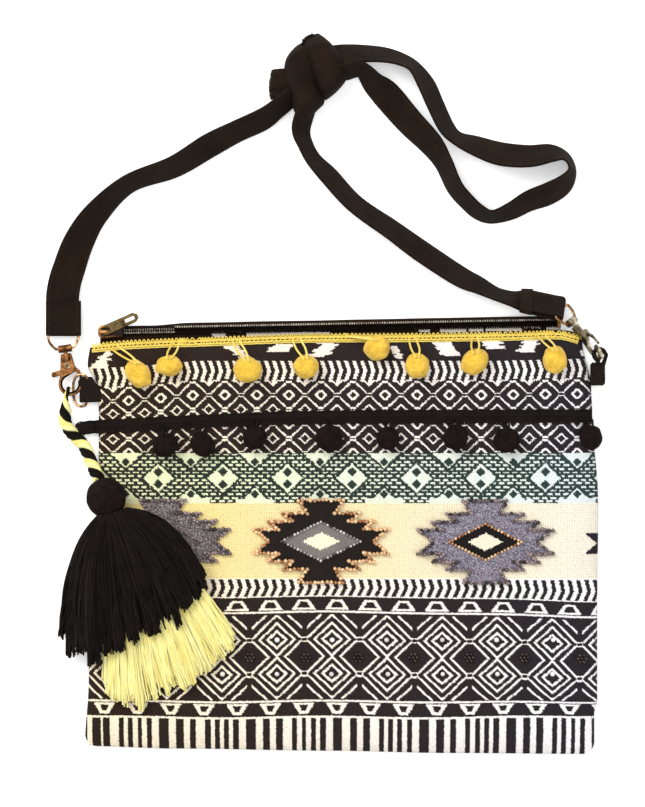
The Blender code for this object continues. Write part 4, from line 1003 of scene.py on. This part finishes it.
JACQUARD = material("jacquard_cotton", jacquard)
front = panel_grid("front_cloth", lambda x, y: cloth_height(x, y) + puckers(x, y), JACQUARD, 250, 210)
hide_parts("front_panel")


# Back panel.
# Plain dark cotton, flat on the table, that rolls up to the seam round its edge.
def plain_cloth():
    u, v, _ = split(coordinates("UV"))
    where = coordinates()
    grain = noise_at(where, 1500, 3)
    weave = wave(u * UV_SPAN, 1.3) * 0.5 + wave(v * UV_SPAN, 1.3) * 0.5
    color = mix(ramp(grain * 0.6 + weave * 0.4, 0.3, 1), srgb(24, 16, 11), srgb(62, 50, 40))
    return {"color": color, "rough": 0.92, "height": weave + grain * 0.5, "depth": 0.0002}


PLAIN_CLOTH = material("back_cotton", plain_cloth)


def back_height(x, y):
    rim = min(x - left_edge(y), right_edge(y) - x, y - bottom_edge(x))
    return 0.1 * MM + 1.3 * MM * math.exp(-max(rim, 0) / (2.5 * MM))


back = panel_grid("back_cloth", back_height, PLAIN_CLOTH, 150, 120, 0.25 * MM, face_down=True)
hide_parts("back_panel")
# Zip.
# Dark tapes, a nylon coil sewn to each, a cast slider with a stamped pull, and a metal stop. The front tape
# is sewn under the panel's top edge, where scraps of the woven cloth show white; the back one folds down.
CHAIN_START, CHAIN_END = -146 * MM, 131 * MM
COIL_PITCH = 1.4 * MM
SCRAPS = [(212, 226, 331.4, 336.8), (229, 244, 331.2, 332.1), (246, 330, 331.7, 336.4), (413, 421, 327.6, 329),
          (419, 430, 328.6, 332), (440, 467, 327.4, 332.4), (469, 484, 326.9, 331.6), (486, 522, 326.4, 331),
          (524, 541, 326, 327.8), (547, 562, 326.4, 329.8)]


CHAIN_SLOPE = 0.0194
CHAIN_RISE = BODY_HEIGHT / 2 + 7.8 * MM


def chain_line(x):
    """Middle of the chain, which climbs a little to the right."""
    return CHAIN_RISE + CHAIN_SLOPE * x


def tape_cloth():
    u, v, _ = split(coordinates("UV"))
    where = coordinates()
    ragged = (noise_at(where, 800, 2) - 0.5) * 4
    px, py = u * UV_SPAN + ragged, v * UV_SPAN + ragged
    scraps = any_of(between(px, left, right) & between(py, top, low) for left, right, top, low in SCRAPS)
    grain = noise_at(where, 1600, 2)
    weave = wave(u * UV_SPAN, 1.2) * 0.5 + wave(v * UV_SPAN, 1.2) * 0.5
    dark = mix(grain * 0.5 + weave * 0.5, srgb(17, 9, 4), srgb(52, 34, 20))
    pale = mix(ramp(weave * 0.6 + grain * 0.6, 0.3, 0.8), srgb(120, 104, 84), srgb(250, 244, 232))
    return {"color": mix(scraps, dark, pale), "rough": 0.9, "height": weave + scraps * 2, "depth": 0.0002}


def strip(name, rows, coat, node=None, thickness=0.45):
    """A strip of cloth from rows of points, with UVs that tell where it is seen."""
    verts = [point for row in rows for point in row]
    faces = cloth_faces(len(rows), len(rows[0]), True)
    uvs = [tuple(share / UV_SPAN for share in seen(p.x, p.y)) for p in verts]
    piece = add_mesh(name, verts, faces, coat, uvs, 60)
    thicken(piece, thickness, 0)
    settle(piece, "root", node)


TAPE = material("zip_tape", tape_cloth)
tape_steps = [CHAIN_START + (CHAIN_END - CHAIN_START) * k / 220 for k in range(221)]
front_rows, back_rows = [], []
for x in tape_steps:
    low, high = top_edge(x) + 0.3 * MM, chain_line(x) - 0.5 * MM
    front_rows.append([Vector((x, low + (high - low) * k / 7,
                               (3.45 + 0.12 * noise.noise(Vector((x * 90, k * 0.5, 1)))) * MM)) for k in range(8)])
    reach = 3.4 - 1.1 * (1 - eased(x, -115 * MM, -92 * MM)) + 0.25 * noise.noise(Vector((x * 30, 2, 2)))
    bend = [(reach + 0.85 * math.cos(math.radians(a)), 2.6 + 0.85 * math.sin(math.radians(a)))
            for a in (90, 60, 30, 0, -30, -60, -90)]
    end = (top_edge(x) - 2 * MM - chain_line(x)) / MM
    profile = [(0.5, 3.45), (1.5, 3.45)] + bend + [(0, 1.75), (end, 1.75)]
    back_rows.append([Vector((x, chain_line(x) + y * MM, z * MM)) for y, z in profile])
strip("front_tape_cloth", front_rows, TAPE, "front_zip_tape")
strip("back_tape_cloth", back_rows, TAPE, "back_zip_tape")


def nylon():
    x, y, _ = split(coordinates())
    off = y - x * CHAIN_SLOPE - CHAIN_RISE
    near_slider = x < -0.101
    tooth = (x + off * 0.2) % COIL_PITCH < 0.55 * COIL_PITCH
    # Painted highlight: pale dots, one to a tooth, on the outer turns of the back coil and on both rows by the
    # slider.
    painted_glint = (between(off, 0.0016, 0.0029) & ~near_slider) | (between(abs(off), 0.0002, 0.0014) & near_slider)
    grain = noise_at(coordinates(), 500, 2)
    color = mix(painted_glint * tooth * ramp(grain, 0.25, 0.6), srgb(15, 9, 5), srgb(236, 226, 206))
    return {"color": color, "rough": 0.7, "gloss": 0.1}


NYLON = material("nylon_coil", nylon)
COIL_THREAD = 0.34 * MM
for coil_name, side, phase in (("front_coil", -1, 0.0), ("back_coil", 1, math.pi)):
    turns = round((CHAIN_END - 2.8 * MM - CHAIN_START) / COIL_PITCH)
    route = []
    for k in range(turns * 12):
        x = CHAIN_START + 0.35 * MM + k * COIL_PITCH / 12
        angle = math.tau * k / 12 + phase
        route.append(Vector((x, chain_line(x) + side * (1.42 - 1.0 * math.cos(angle)) * MM,
                             (4.9 + 0.58 * math.sin(angle)) * MM)))
    coil = tubes(coil_name + "_thread", [route], COIL_THREAD, NYLON, "root", 1)
    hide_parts(coil_name)


def metal(dark, light, rough, wear=180, channel=None):
    """Cast metal with a dark patina in its hollows and paler rubbed places; a channel is a sunk ring with painted
    shade.
    """
    def build():
        where = coordinates()
        wear_and_painted_light = noise_at(where, wear, 3)
        pits = noise_at(where, 1400, 2)
        if channel:
            x, y, _ = split(where)
            middle, inner, outer = channel
            reach = step("SQRT", step("POWER", x - middle.x, 2.0) + step("POWER", y - middle.y, 2.0))
            # The channel: a ring painted dark as the shade in a sunk groove, and lowered in the bump.
            wear_and_painted_light = wear_and_painted_light - between(reach, inner, outer) * 0.7
        return {"color": mix(ramp(wear_and_painted_light * 0.8 + pits * 0.3, 0.38, 0.7), dark, light), "metal": 1.0, "gloss": 0.5,
                "rough": pits * 0.2 + rough, "height": pits * 0.5 + wear_and_painted_light, "depth": 0.00012}
    return build


def finish_with(coat, *nodes):
    """Gives solids of the part a better material, in their own slots."""
    for node in nodes:
        for slot in NODES[node].material_slots:
            slot.material = coat


BRONZE = material("antique_bronze", metal(srgb(34, 20, 10), srgb(128, 90, 50), 0.22))
OLIVE = material("pull_bronze", metal(srgb(50, 40, 24), srgb(116, 98, 62), 0.3))
finish_with(BRONZE, "zip_end_stop")

# The slider's casting: half widths along it, nose first, then the arched bridge over the pull's bar
SLIDER_START = CHAIN_START - 1.2 * MM
SLIDER_HALVES = [(0, 1.4), (0.5, 2.7), (1.3, 3.7), (2.8, 4.2), (5, 4.1), (7.5, 3.5), (10, 3.3), (13.6, 3.3),
                 (14.7, 3.0), (15, 2.4)]
SLIDER_LAYERS = [(3.95, 0.94), (4.1, 1.0), (6.6, 1.0), (7.1, 0.93), (7.3, 0.8), (7.35, 0.3)]
THROAT_TOP, THROAT_HALF = 6.1, 3.1
PULL_X = CHAIN_START + 1.4 * MM


def slider_shell():
    """The top plate with its side flanges, as layers of one outline."""
    outline = [(s, h) for s, h in SLIDER_HALVES] + [(s, -h) for s, h in reversed(SLIDER_HALVES)]
    verts, faces = [], []
    for z, share in SLIDER_LAYERS:
        for s, h in outline:
            x = SLIDER_START + (7.5 + (s - 7.5) * min(1.0, share + 0.06)) * MM
            throat = THROAT_TOP if abs(h) < THROAT_HALF else 0.0
            verts.append(Vector((x, chain_line(x) + h * share * MM, max(z, throat) * MM)))
    count = len(outline)
    for layer in range(len(SLIDER_LAYERS) - 1):
        for k in range(count):
            n = (k + 1) % count
            a = layer * count
            faces.append((a + n, a + k, a + count + k, a + count + n))
    top = (len(SLIDER_LAYERS) - 1) * count
    faces.append(tuple(top + k for k in reversed(range(count))))
    return verts, faces


def slider_bridge(verts, faces):
    """A flat arch from the nose over the pull's bar to the middle of the plate."""
    arch = [(PULL_X - 2.1 * MM, 7.0), (PULL_X - 2.1 * MM, 8.9), (PULL_X - 1.4 * MM, 9.9), (PULL_X, 10.3),
            (PULL_X + 1.8 * MM, 10.1), (PULL_X + 4.5 * MM, 9.0), (PULL_X + 7.0 * MM, 7.6), (PULL_X + 7.6 * MM, 7.0)]
    inner = [(PULL_X - 1.3 * MM, 7.0), (PULL_X - 1.3 * MM, 8.7), (PULL_X - 0.9 * MM, 9.2), (PULL_X, 9.45),
             (PULL_X + 1.4 * MM, 9.2), (PULL_X + 3.8 * MM, 8.2), (PULL_X + 5.8 * MM, 7.2), (PULL_X + 6.2 * MM, 7.0)]
    start = len(verts)
    for side in (-1, 1):
        for line in (arch, inner):
            for x, z in line:
                verts.append(Vector((x, chain_line(x) + side * 0.8 * MM, z * MM)))
    size = len(arch)
    for k in range(size - 1):
        outer_a, inner_a = start + k, start + size + k
        outer_b, inner_b = start + 2 * size + k, start + 3 * size + k
        faces += [(outer_a, outer_a + 1, inner_a + 1, inner_a), (outer_b, inner_b, inner_b + 1, outer_b + 1),
                  (outer_a, outer_b, outer_b + 1, outer_a + 1), (inner_a, inner_a + 1, inner_b + 1, inner_b)]
    return verts, faces


shell_verts, shell_faces = slider_bridge(*slider_shell())


def casting():
    """The slider's patina, nearly black on the plate, with painted highlights in patches on its rim, its nose and the
    top of its bridge.
    """
    where = coordinates()
    x, y, z = split(where)
    off = abs(y - x * CHAIN_SLOPE - CHAIN_RISE)
    # Painted highlight: the rim, the nose and the top of the bridge are painted bright, up to a pale bronze.
    wear_and_painted_light = (ramp(off, 2.3 * MM, 3.6 * MM) + ramp(x, SLIDER_START + 2.6 * MM, SLIDER_START)
           + ramp(z, 8.6 * MM, 10 * MM))
    worn = noise_at(where, 320, 3)
    return {"color": mix(wear_and_painted_light * ramp(worn, 0.3, 0.6), srgb(24, 14, 8), srgb(196, 140, 84)), "rough": 0.34,
            "metal": 0.8, "gloss": 0.5, "height": worn, "depth": 0.0002}


slider = add_mesh("zip_slider_casting", shell_verts, shell_faces, material("zip_casting", casting), None, 35)
settle(slider, "zip_slider", "zip_slider")
finish_with(OLIVE, "pull_tab")


# Braids and pompoms.
# Two crocheted braids sewn across the cloth: the yellow one with a scalloped upper edge, a row of small holes and a
# plain cord below, the black one laid as plain strands side by side. Wool pompoms hang from the yellow one on doubled
# yarn loops, and from the black one, which has a strip of the same yarn under its strands.
BRAID_THICKNESS = 1.2 * MM
BRAID_STEP = 0.32
YELLOW_BRAID = [(-150.8, 118.4), (-130.8, 120.2), (-101.5, 121.6), (-85.8, 122), (-25.8, 124.2),
                (34.3, 124.6), (94.2, 125.4), (126, 126.3), (134, 125.5), (141.5, 123.4)]
BLACK_BRAID = [(-157.2, 69.6), (-148.8, 71.1), (-60, 75.6), (0, 77.1), (72, 77.4), (149.4, 77.7)]


def braid_seat(x, y):
    """Underside of a braid where it lies on the cloth."""
    around = [(x + i * 1.5 * MM, y + j * 1.5 * MM) for i in (-1, 0, 1) for j in (-1, 0, 1)]
    return max(cloth_height(min(max(a, left_edge(b)), right_edge(b)), min(b, top_edge(a))) for a, b in around)


# Strands: how far across the half width, how far they sway, pitch in mm, phase, and how far they rise
LACE = [(0.66, 0.34, 2.4, 0.0, 0.1), (0.24, 0.16, 2.4, 0.0, 0.25), (0.24, 0.16, 2.4, math.pi, 0.25),
        (-0.14, 0.30, 4.8, 1.0, 0.1), (-0.45, 0.11, 2.4, 1.0, 0.22), (-0.45, 0.11, 2.4, 1.0 + math.pi, 0.22),
        (-0.86, 0.02, 5.0, 0.0, 0.03)]
PLAIN = [(-0.98 + 0.178 * k, 0.05, 2.0, k * 1.3, 0.12) for k in range(12)]


def braid_strands(points, width, weights):
    """The strands of a braid as offsets from its middle line."""
    line = smooth_route([Vector((x, y, 0)) * MM for x, y in points], BRAID_STEP * MM)
    half = width / 2
    middles, sides = [], []
    for k, point in enumerate(line):
        ahead = line[min(k + 2, len(line) - 1)] - line[max(k - 2, 0)]
        side = Vector((-ahead.y, ahead.x, 0)).normalized()
        middles.append(Vector((point.x, point.y, braid_seat(point.x, point.y) + 0.3 * MM + BRAID_THICKNESS / 2)))
        sides.append(side)
    routes = []
    for place_across, sway, pitch, phase, rise in weights:
        route = []
        for k, (middle, side) in enumerate(zip(middles, sides)):
            angle = math.tau * k * BRAID_STEP / pitch + phase
            across = (place_across + sway * math.sin(angle)) * half
            route.append(middle + side * across + Vector((0, 0, rise * math.cos(angle) * MM)))
        routes.append(route)
    return routes


yellow_braid = tubes("yellow_braid_yarn", braid_strands(YELLOW_BRAID, 5.4 * MM, LACE), 0.36 * MM, BRAID_YARN, "root",
                     1)
black_braid = tubes("black_braid_yarn", braid_strands(BLACK_BRAID, 7.4 * MM, PLAIN), 0.38 * MM, BLACK_YARN, "root",
                    1)
felted = []
for point in smooth_route([Vector((x, y, 0)) * MM for x, y in BLACK_BRAID], 2 * MM):
    felted.append([Vector((point.x, point.y + off * MM, braid_seat(point.x, point.y) + 0.65 * MM))
                   for off in (-3.5, 0, 3.5)])
strip("black_braid_ground", felted, BLACK_YARN)
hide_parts("yellow_braid")
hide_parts("black_braid")

# Each pompom: how wide, how tall and how far turned it looks, and where its loop leaves the braid
YELLOW_BALLS = [(0.88, 1.2, 35, (109, 347), (119, 347)), (1.02, 0.78, 5, (172, 345), (179, 345)),
                (1.08, 1.0, 0, (233, 342), (240, 342)), (0.95, 0.9, 0, (293, 341), (301, 340)),
                (1.0, 0.96, 20, (346, 336), (353, 336)), (0.93, 0.98, 0, (409, 339), (416, 339)),
                (1.16, 0.92, 38, (472, 339), (478, 339)), (0.92, 1.06, 8, (538, 336), (546, 337))]


def pompom(node, coat, wide=1.0, tall=1.0, turn=0.0, crease=None):
    """A wool ball in a solid's place, stretched and turned as it lies."""
    low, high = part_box(node)
    middle = (Vector(low) + Vector(high)) / 2
    size = Vector(high) - Vector(low)
    piece = fuzz_ball(node + "_wool", middle, size.x / 2, size.z, coat, "root", node, 0.1, 700, crease)
    spread = (Matrix.Translation(middle) @ Matrix.Rotation(math.radians(turn), 4, "Z")
              @ Matrix.Diagonal((wide, tall, 1, 1)) @ Matrix.Translation(-middle))
    piece.data.transform(spread)
    return middle, size


for number, (wide, tall, turn, *roots) in enumerate(YELLOW_BALLS, 1):
    crease = Vector((0.75, 0.66, 0)).normalized() if number == 1 else None
    ball_middle, ball_size = pompom(f"yellow_pompom_{number}", YELLOW_FELT, wide, tall, turn, crease)
    loops = []
    for side, (px, py) in zip((-1, 1), roots):
        start = place(px, py)
        start.z = braid_seat(start.x, start.y) + 0.9 * MM
        top = ball_middle + Vector((side * 0.9 * MM, ball_size.y * 0.3 * tall, ball_size.z * 0.45))
        bow = start.lerp(top, 0.5) + Vector((side * 1.0 * MM, 0, 1.2 * MM))
        loops.append(smooth_route([start - Vector((0, -1.5 * MM, 0.2 * MM)), start, bow, top], 0.6 * MM))
    tubes(f"yellow_loop_{number}", loops, 0.62 * MM, BRAID_YARN, "root", 2)
for number in range(1, 9):
    ball_middle, ball_size = pompom(f"black_pompom_{number}", BLACK_FELT,
                                    1 + 0.08 * math.sin(number * 2.1), 1 + 0.08 * math.cos(number * 3.3), number * 25)
    loops = []
    for side in (-1, 1):
        top = ball_middle + Vector((side * 0.8 * MM, ball_size.y * 0.32, ball_size.z * 0.42))
        start = Vector((ball_middle.x + side * 1.6 * MM, ball_middle.y + ball_size.y / 2 + 2.5 * MM, 0))
        start.z = braid_seat(start.x, start.y) + 0.9 * MM
        loops.append(smooth_route([start, start.lerp(top, 0.5) + Vector((0, 0, MM)), top], 0.6 * MM))
    tubes(f"black_loop_{number}", loops, 0.6 * MM, BLACK_YARN, "root", 2)


# Medallions.
# Three stiff patches with a stepped outline, edged in glass beads, with a beaded diamond inside: the left
# grey, the middle black with copper beads, the right lilac with a gold one. Black and white beads dot the cloth.
MEDALLION_TEETH = [(31.8, 0.8), (40.2, 7.2), (25.2, 7.2), (31.8, 12), (16.8, 12), (22.8, 16.8), (8.4, 16.8),
                   (13.2, 24.6)]
PATCH_Z = 11.3
RIM_BEAD, RIM_PITCH = 1.24 * MM, 2.3 * MM
INNER_BEAD, INNER_PITCH = 0.95 * MM, 2.2 * MM


def patch_cloth(ground, inner, core, inner_half, core_half, stippled):
    """Satin-stitched patch: a ground, a diamond in it, and a stepped core; a stippled one has seed beads all over."""
    def build():
        x, y, _ = split(coordinates("UV"))
        where = coordinates()
        thread = noise_at(vector(x * 2500, y * 300), 1.0, 2)
        blotch = noise_at(where, 120, 2)
        reach = abs(x) / inner_half[0] + abs(y) / inner_half[1]
        torn = (noise_at(vector(step("FLOOR", x / 0.0006) * 0.9, y * 60), 1.0, 1) - 0.5) * 0.7
        centre = abs(x) / core_half[0] + abs(y) / core_half[1] + torn
        color = mix(thread * 0.5 + blotch * 0.4, ground[0], ground[1])
        color = mix(reach < 1, color, mix(thread * 0.6 + blotch * 0.4, inner[0], inner[1]))
        seeds = noise_at(where, 1500, 1)
        color = mix(ramp(seeds, 0.54, 0.72) * 0.6 * (reach > 1) * stippled, color, srgb(214, 204, 204))
        color = mix(ramp(seeds, 0.5, 0.34) * 0.7 * stippled, color, srgb(20, 14, 16))
        color = mix(centre < 1, color, mix(thread * 0.7 + blotch * 0.3, core[0], core[1]))
        return {"color": color, "rough": 0.75, "height": thread, "depth": 0.00025}
    return build


def glass(dark, light, rough=0.16):
    """Glass beads, each with a tone of its own."""
    def build():
        shade = attribute("tone")
        return {"color": mix(shade, dark, light), "rough": rough, "metal": 0.25, "gloss": 0.6}
    return build


def beads(name, spots, radius, coat, stretch=1.0):
    """Many small beads as one mesh piece, each with a tone of its own."""
    edit = bmesh.new()
    bmesh.ops.create_uvsphere(edit, u_segments=10, v_segments=6, radius=1)
    base = [v.co.copy() for v in edit.verts]
    loops = [[v.index for v in f.verts] for f in edit.faces]
    edit.free()
    verts, faces, tones = [], [], []
    for spot in spots:
        start = len(verts)
        size = radius * random.uniform(0.88, 1.08)
        verts += [spot + Vector((p.x, p.y, p.z * stretch)) * size for p in base]
        faces += [[start + k for k in loop] for loop in loops]
        tones += [random.random()] * len(base)
    piece = add_mesh(name, verts, faces, coat, None, 80)
    set_tones(piece.data, tones)
    settle(piece, "root")


def stepped(centre, inset=0.0):
    """The medallion's stepped outline, drawn in by an inset."""
    quarter = [(w - inset * (1.4 if w > 14 else 0.8), max(h - inset * 0.7, 0.3)) for w, h in MEDALLION_TEETH]
    full = (quarter + [(-w, h) for w, h in reversed(quarter)] + [(-w, -h) for w, h in quarter]
            + [(w, -h) for w, h in reversed(quarter)])
    return [Vector(((centre[0] + x) * MM, (centre[1] + y) * MM, 0)) for x, y in full]


def evenly(outline, pitch, height, jitter=0.12):
    """Spots along a closed outline at an even pitch, at a height in millimetres."""
    spots = []
    for a, b in zip(outline, outline[1:] + outline[:1]):
        count = max(1, round((b - a).length / pitch))
        for k in range(count):
            spot = a.lerp(b, k / count)
            shift = Vector((random.uniform(-jitter, jitter), random.uniform(-jitter, jitter), 0)) * MM
            spots.append(Vector((spot.x, spot.y, height * MM)) + shift)
    return spots


def diamond(centre, half_x, half_y):
    """The four corners of a diamond."""
    return [Vector(((centre[0] + x) * MM, (centre[1] + y) * MM, 0))
            for x, y in ((half_x, 0), (0, half_y), (-half_x, 0), (0, -half_y))]


SMOKE = material("smoke_beads", glass(srgb(22, 14, 16), srgb(158, 138, 138)))
JET = material("jet_beads", glass(srgb(8, 6, 6), srgb(58, 44, 34)))
COPPER = material("copper_beads", glass(srgb(150, 88, 44), srgb(255, 214, 164), 0.2))
SILVER = material("silver_beads", glass(srgb(60, 50, 52), srgb(224, 212, 212), 0.2))
PEARL = material("pearl_beads", glass(srgb(214, 210, 206), srgb(255, 252, 246), 0.3))
LILAC_PATCH = ((srgb(88, 82, 96), srgb(156, 150, 168)), (srgb(10, 9, 10), srgb(34, 30, 30)),
               (srgb(206, 198, 172), srgb(250, 244, 222)))
GREY_PATCH = ((srgb(66, 58, 56), srgb(128, 118, 114)), (srgb(76, 68, 66), srgb(140, 130, 126)),
              (srgb(216, 204, 160), srgb(250, 240, 204)))
BLACK_PATCH = ((srgb(12, 10, 10), srgb(44, 36, 32)), (srgb(78, 74, 72), srgb(150, 144, 138)),
               (srgb(222, 212, 176), srgb(252, 246, 224)))
MEDALLIONS = [("left", (-108, 2.7), GREY_PATCH, SMOKE, SMOKE, (21.5, 11.5), (10, 6.5)),
              ("middle", (-13.2, 2.7), BLACK_PATCH, COPPER, SILVER, (23.7, 11.7), (11.4, 5.4)),
              ("right", (85.2, 2.3), LILAC_PATCH, SMOKE, COPPER, (21.6, 10.8), (10.5, 5.4))]
for side_name, centre, cloth, rim_coat, inner_coat, inner_half, core_half in MEDALLIONS:
    outline = stepped(centre)
    count = len(outline)
    verts = [Vector((p.x, p.y, (PATCH_Z + 0.05) * MM)) for p in outline]
    verts += [Vector((p.x, p.y, (PATCH_Z + 0.8) * MM)) for p in outline]
    verts += [Vector((p.x, p.y, (PATCH_Z + 1.0) * MM)) for p in stepped(centre, inset=1.2)]
    faces = [tuple(reversed(range(count))), tuple(range(2 * count, 3 * count))]
    for layer in (0, count):
        faces += [(layer + k, layer + (k + 1) % count, layer + count + (k + 1) % count, layer + count + k)
                  for k in range(count)]
    uvs = [(v.x - centre[0] * MM, v.y - centre[1] * MM) for v in verts]
    coat = material(side_name + "_patch", patch_cloth(*cloth, [h * MM for h in inner_half],
                                                      [h * MM for h in core_half], side_name != "middle"))
    patch = add_mesh(side_name + "_patch", verts, faces, coat, uvs, 30)
    settle(patch, "root", side_name + "_medallion")
    beads(side_name + "_rim_beads", evenly(outline, RIM_PITCH, PATCH_Z + 1.45, 0.45), RIM_BEAD, rim_coat)
    beads(side_name + "_inner_beads", evenly(diamond(centre, *inner_half), INNER_PITCH, PATCH_Z + 1.5), INNER_BEAD,
          inner_coat)

white_spots = [place(387 + 55 * column, y) for column in range(-5, 4) for y in (639.5, 673.6)]
black_spots = [place(332.5 + 54.9 * k, 656.5) for k in range(-4, 5)]
for spots in (white_spots, black_spots):
    for spot in spots:
        spot.x += random.uniform(-0.5, 0.5) * MM
        spot.z = cloth_height(spot.x, spot.y) + 0.75 * MM
lattice_beads = [s for s in white_spots if s.x < 146 * MM and (s.x > -55 * MM or s.y < -60 * MM)]
beads("white_lattice_beads", lattice_beads, 1.5 * MM, PEARL, 0.6)
FLOWERS = [(-55.8, -67), (-22.2, -67), (9, -67), (42, -67), (75.6, -67), (108.6, -67), (143, -67.6)]
flower_spots = []
for x, y in FLOWERS:
    flower_spots += [Vector((x * MM + 2.2 * MM * math.cos(a), y * MM + 2.2 * MM * math.sin(a), 12.2 * MM))
                     for a in (math.tau * k / 6 for k in range(6))]
    flower_spots.append(Vector((x * MM, y * MM, 12.7 * MM)))
beads("flower_beads", flower_spots, 1.15 * MM, JET, 0.8)


# Metal fittings.
# Two cast swivel snap hooks with riveted gates, wire rings for the strap, and the left seam's D-ring, all in
# antique brass that is dark in its hollows and rubbed bright: copper-brown on the left, paler on the right.
bow_middle = LEFT_FRAME @ Vector((0, BOW_CENTRE_Y, 0))
# The left hook's bow gets a ring of painted shade where its channel sinks.
BRASS = material("antique_brass", metal(srgb(24, 13, 7), srgb(166, 112, 66), 0.26, 320,
                                        (bow_middle, 4.4 * MM, 5.9 * MM)))
PALE_BRASS = material("pale_brass", metal(srgb(58, 46, 32), srgb(206, 192, 160), 0.2, 260))
WIRE_BRASS = material("wire_brass", metal(srgb(92, 60, 36), srgb(218, 174, 126), 0.16, 320))
for side_name in ("left", "right"):
    finish_with(BRASS if side_name == "left" else PALE_BRASS, side_name + "_hook_body", side_name + "_hook_gate",
                side_name + "_hook_pin", side_name + "_swivel_head")
    finish_with(WIRE_BRASS, side_name + "_ring")
finish_with(WIRE_BRASS, "left_d_ring")
rivet_line = [LEFT_FRAME @ Vector((1.5 * MM * math.cos(a), -10.3 * MM + 1.5 * MM * math.sin(a), 2.15 * MM))
              for a in (math.tau * k / 24 for k in range(25))]
tubes("left_rivet_ring", [rivet_line], 0.42 * MM, PALE_BRASS, "root", 2)


# Seam tabs and lining.
# A short loop of black canvas in each side seam holds the left D-ring and the right hook; it is folded
# double and pressed hard. The lining inside is plain dark cotton.
def tab_cloth():
    where = coordinates()
    x, y, z = split(where)
    ribs = wave(y + z * 0.5, 0.0011) * 0.6 + wave(x, 0.0009) * 0.4
    grain = noise_at(where, 900, 3)
    color = mix(ramp(ribs * 0.5 + grain * 0.6, 0.3, 1.0), srgb(10, 7, 6), srgb(50, 40, 34))
    return {"color": color, "rough": 0.9, "height": ribs + grain * 0.6, "depth": 0.0003}


def softened(node, name, coat, voxel, stretch=(1, 1), shift=(0, 0)):
    """A solid's shape in cloth: rounded all over, with small dents, and let out a little in x and y."""
    mesh = NODES[node].data.copy()
    edit = bmesh.new()
    edit.from_mesh(mesh)
    bmesh.ops.remove_doubles(edit, verts=edit.verts, dist=1e-6)
    edit.to_mesh(mesh)
    edit.free()
    holder = bpy.data.objects.new(name, mesh)
    skin = holder.modifiers.new("Skin", "REMESH")
    skin.mode = "VOXEL"
    skin.voxel_size = voxel * MM
    ease = holder.modifiers.new("Ease", "SMOOTH")
    ease.iterations = 5
    ease.factor = 0.6
    made = baked(holder)
    middle = sum((vert.co for vert in made.vertices), Vector()) / len(made.vertices)
    for vert in made.vertices:
        vert.co += vert.normal * noise.noise(vert.co * 500) * 0.22 * MM
        vert.co.x = middle.x + (vert.co.x - middle.x) * stretch[0] + shift[0] * MM
        vert.co.y = middle.y + (vert.co.y - middle.y) * stretch[1] + shift[1] * MM
    made.shade_smooth()
    settle(new_piece(name, made, coat), "root", node)


TAB_CLOTH = material("tab_canvas", tab_cloth)
softened("left_tab", "left_tab_fold", TAB_CLOTH, 0.3, (1.7, 1.45), (-0.2, 0))
softened("right_tab", "right_tab_fold", TAB_CLOTH, 0.3, (1.1, 1.12), (-0.5, 0.8))


def lining_cloth():
    where = coordinates()
    grain = noise_at(where, 1200, 2)
    return {"color": mix(grain, srgb(30, 26, 22), srgb(70, 62, 54)), "rough": 0.85, "height": grain,
            "depth": 0.0001}


finish_with(material("lining_cotton", lining_cloth), "front_lining", "back_lining")
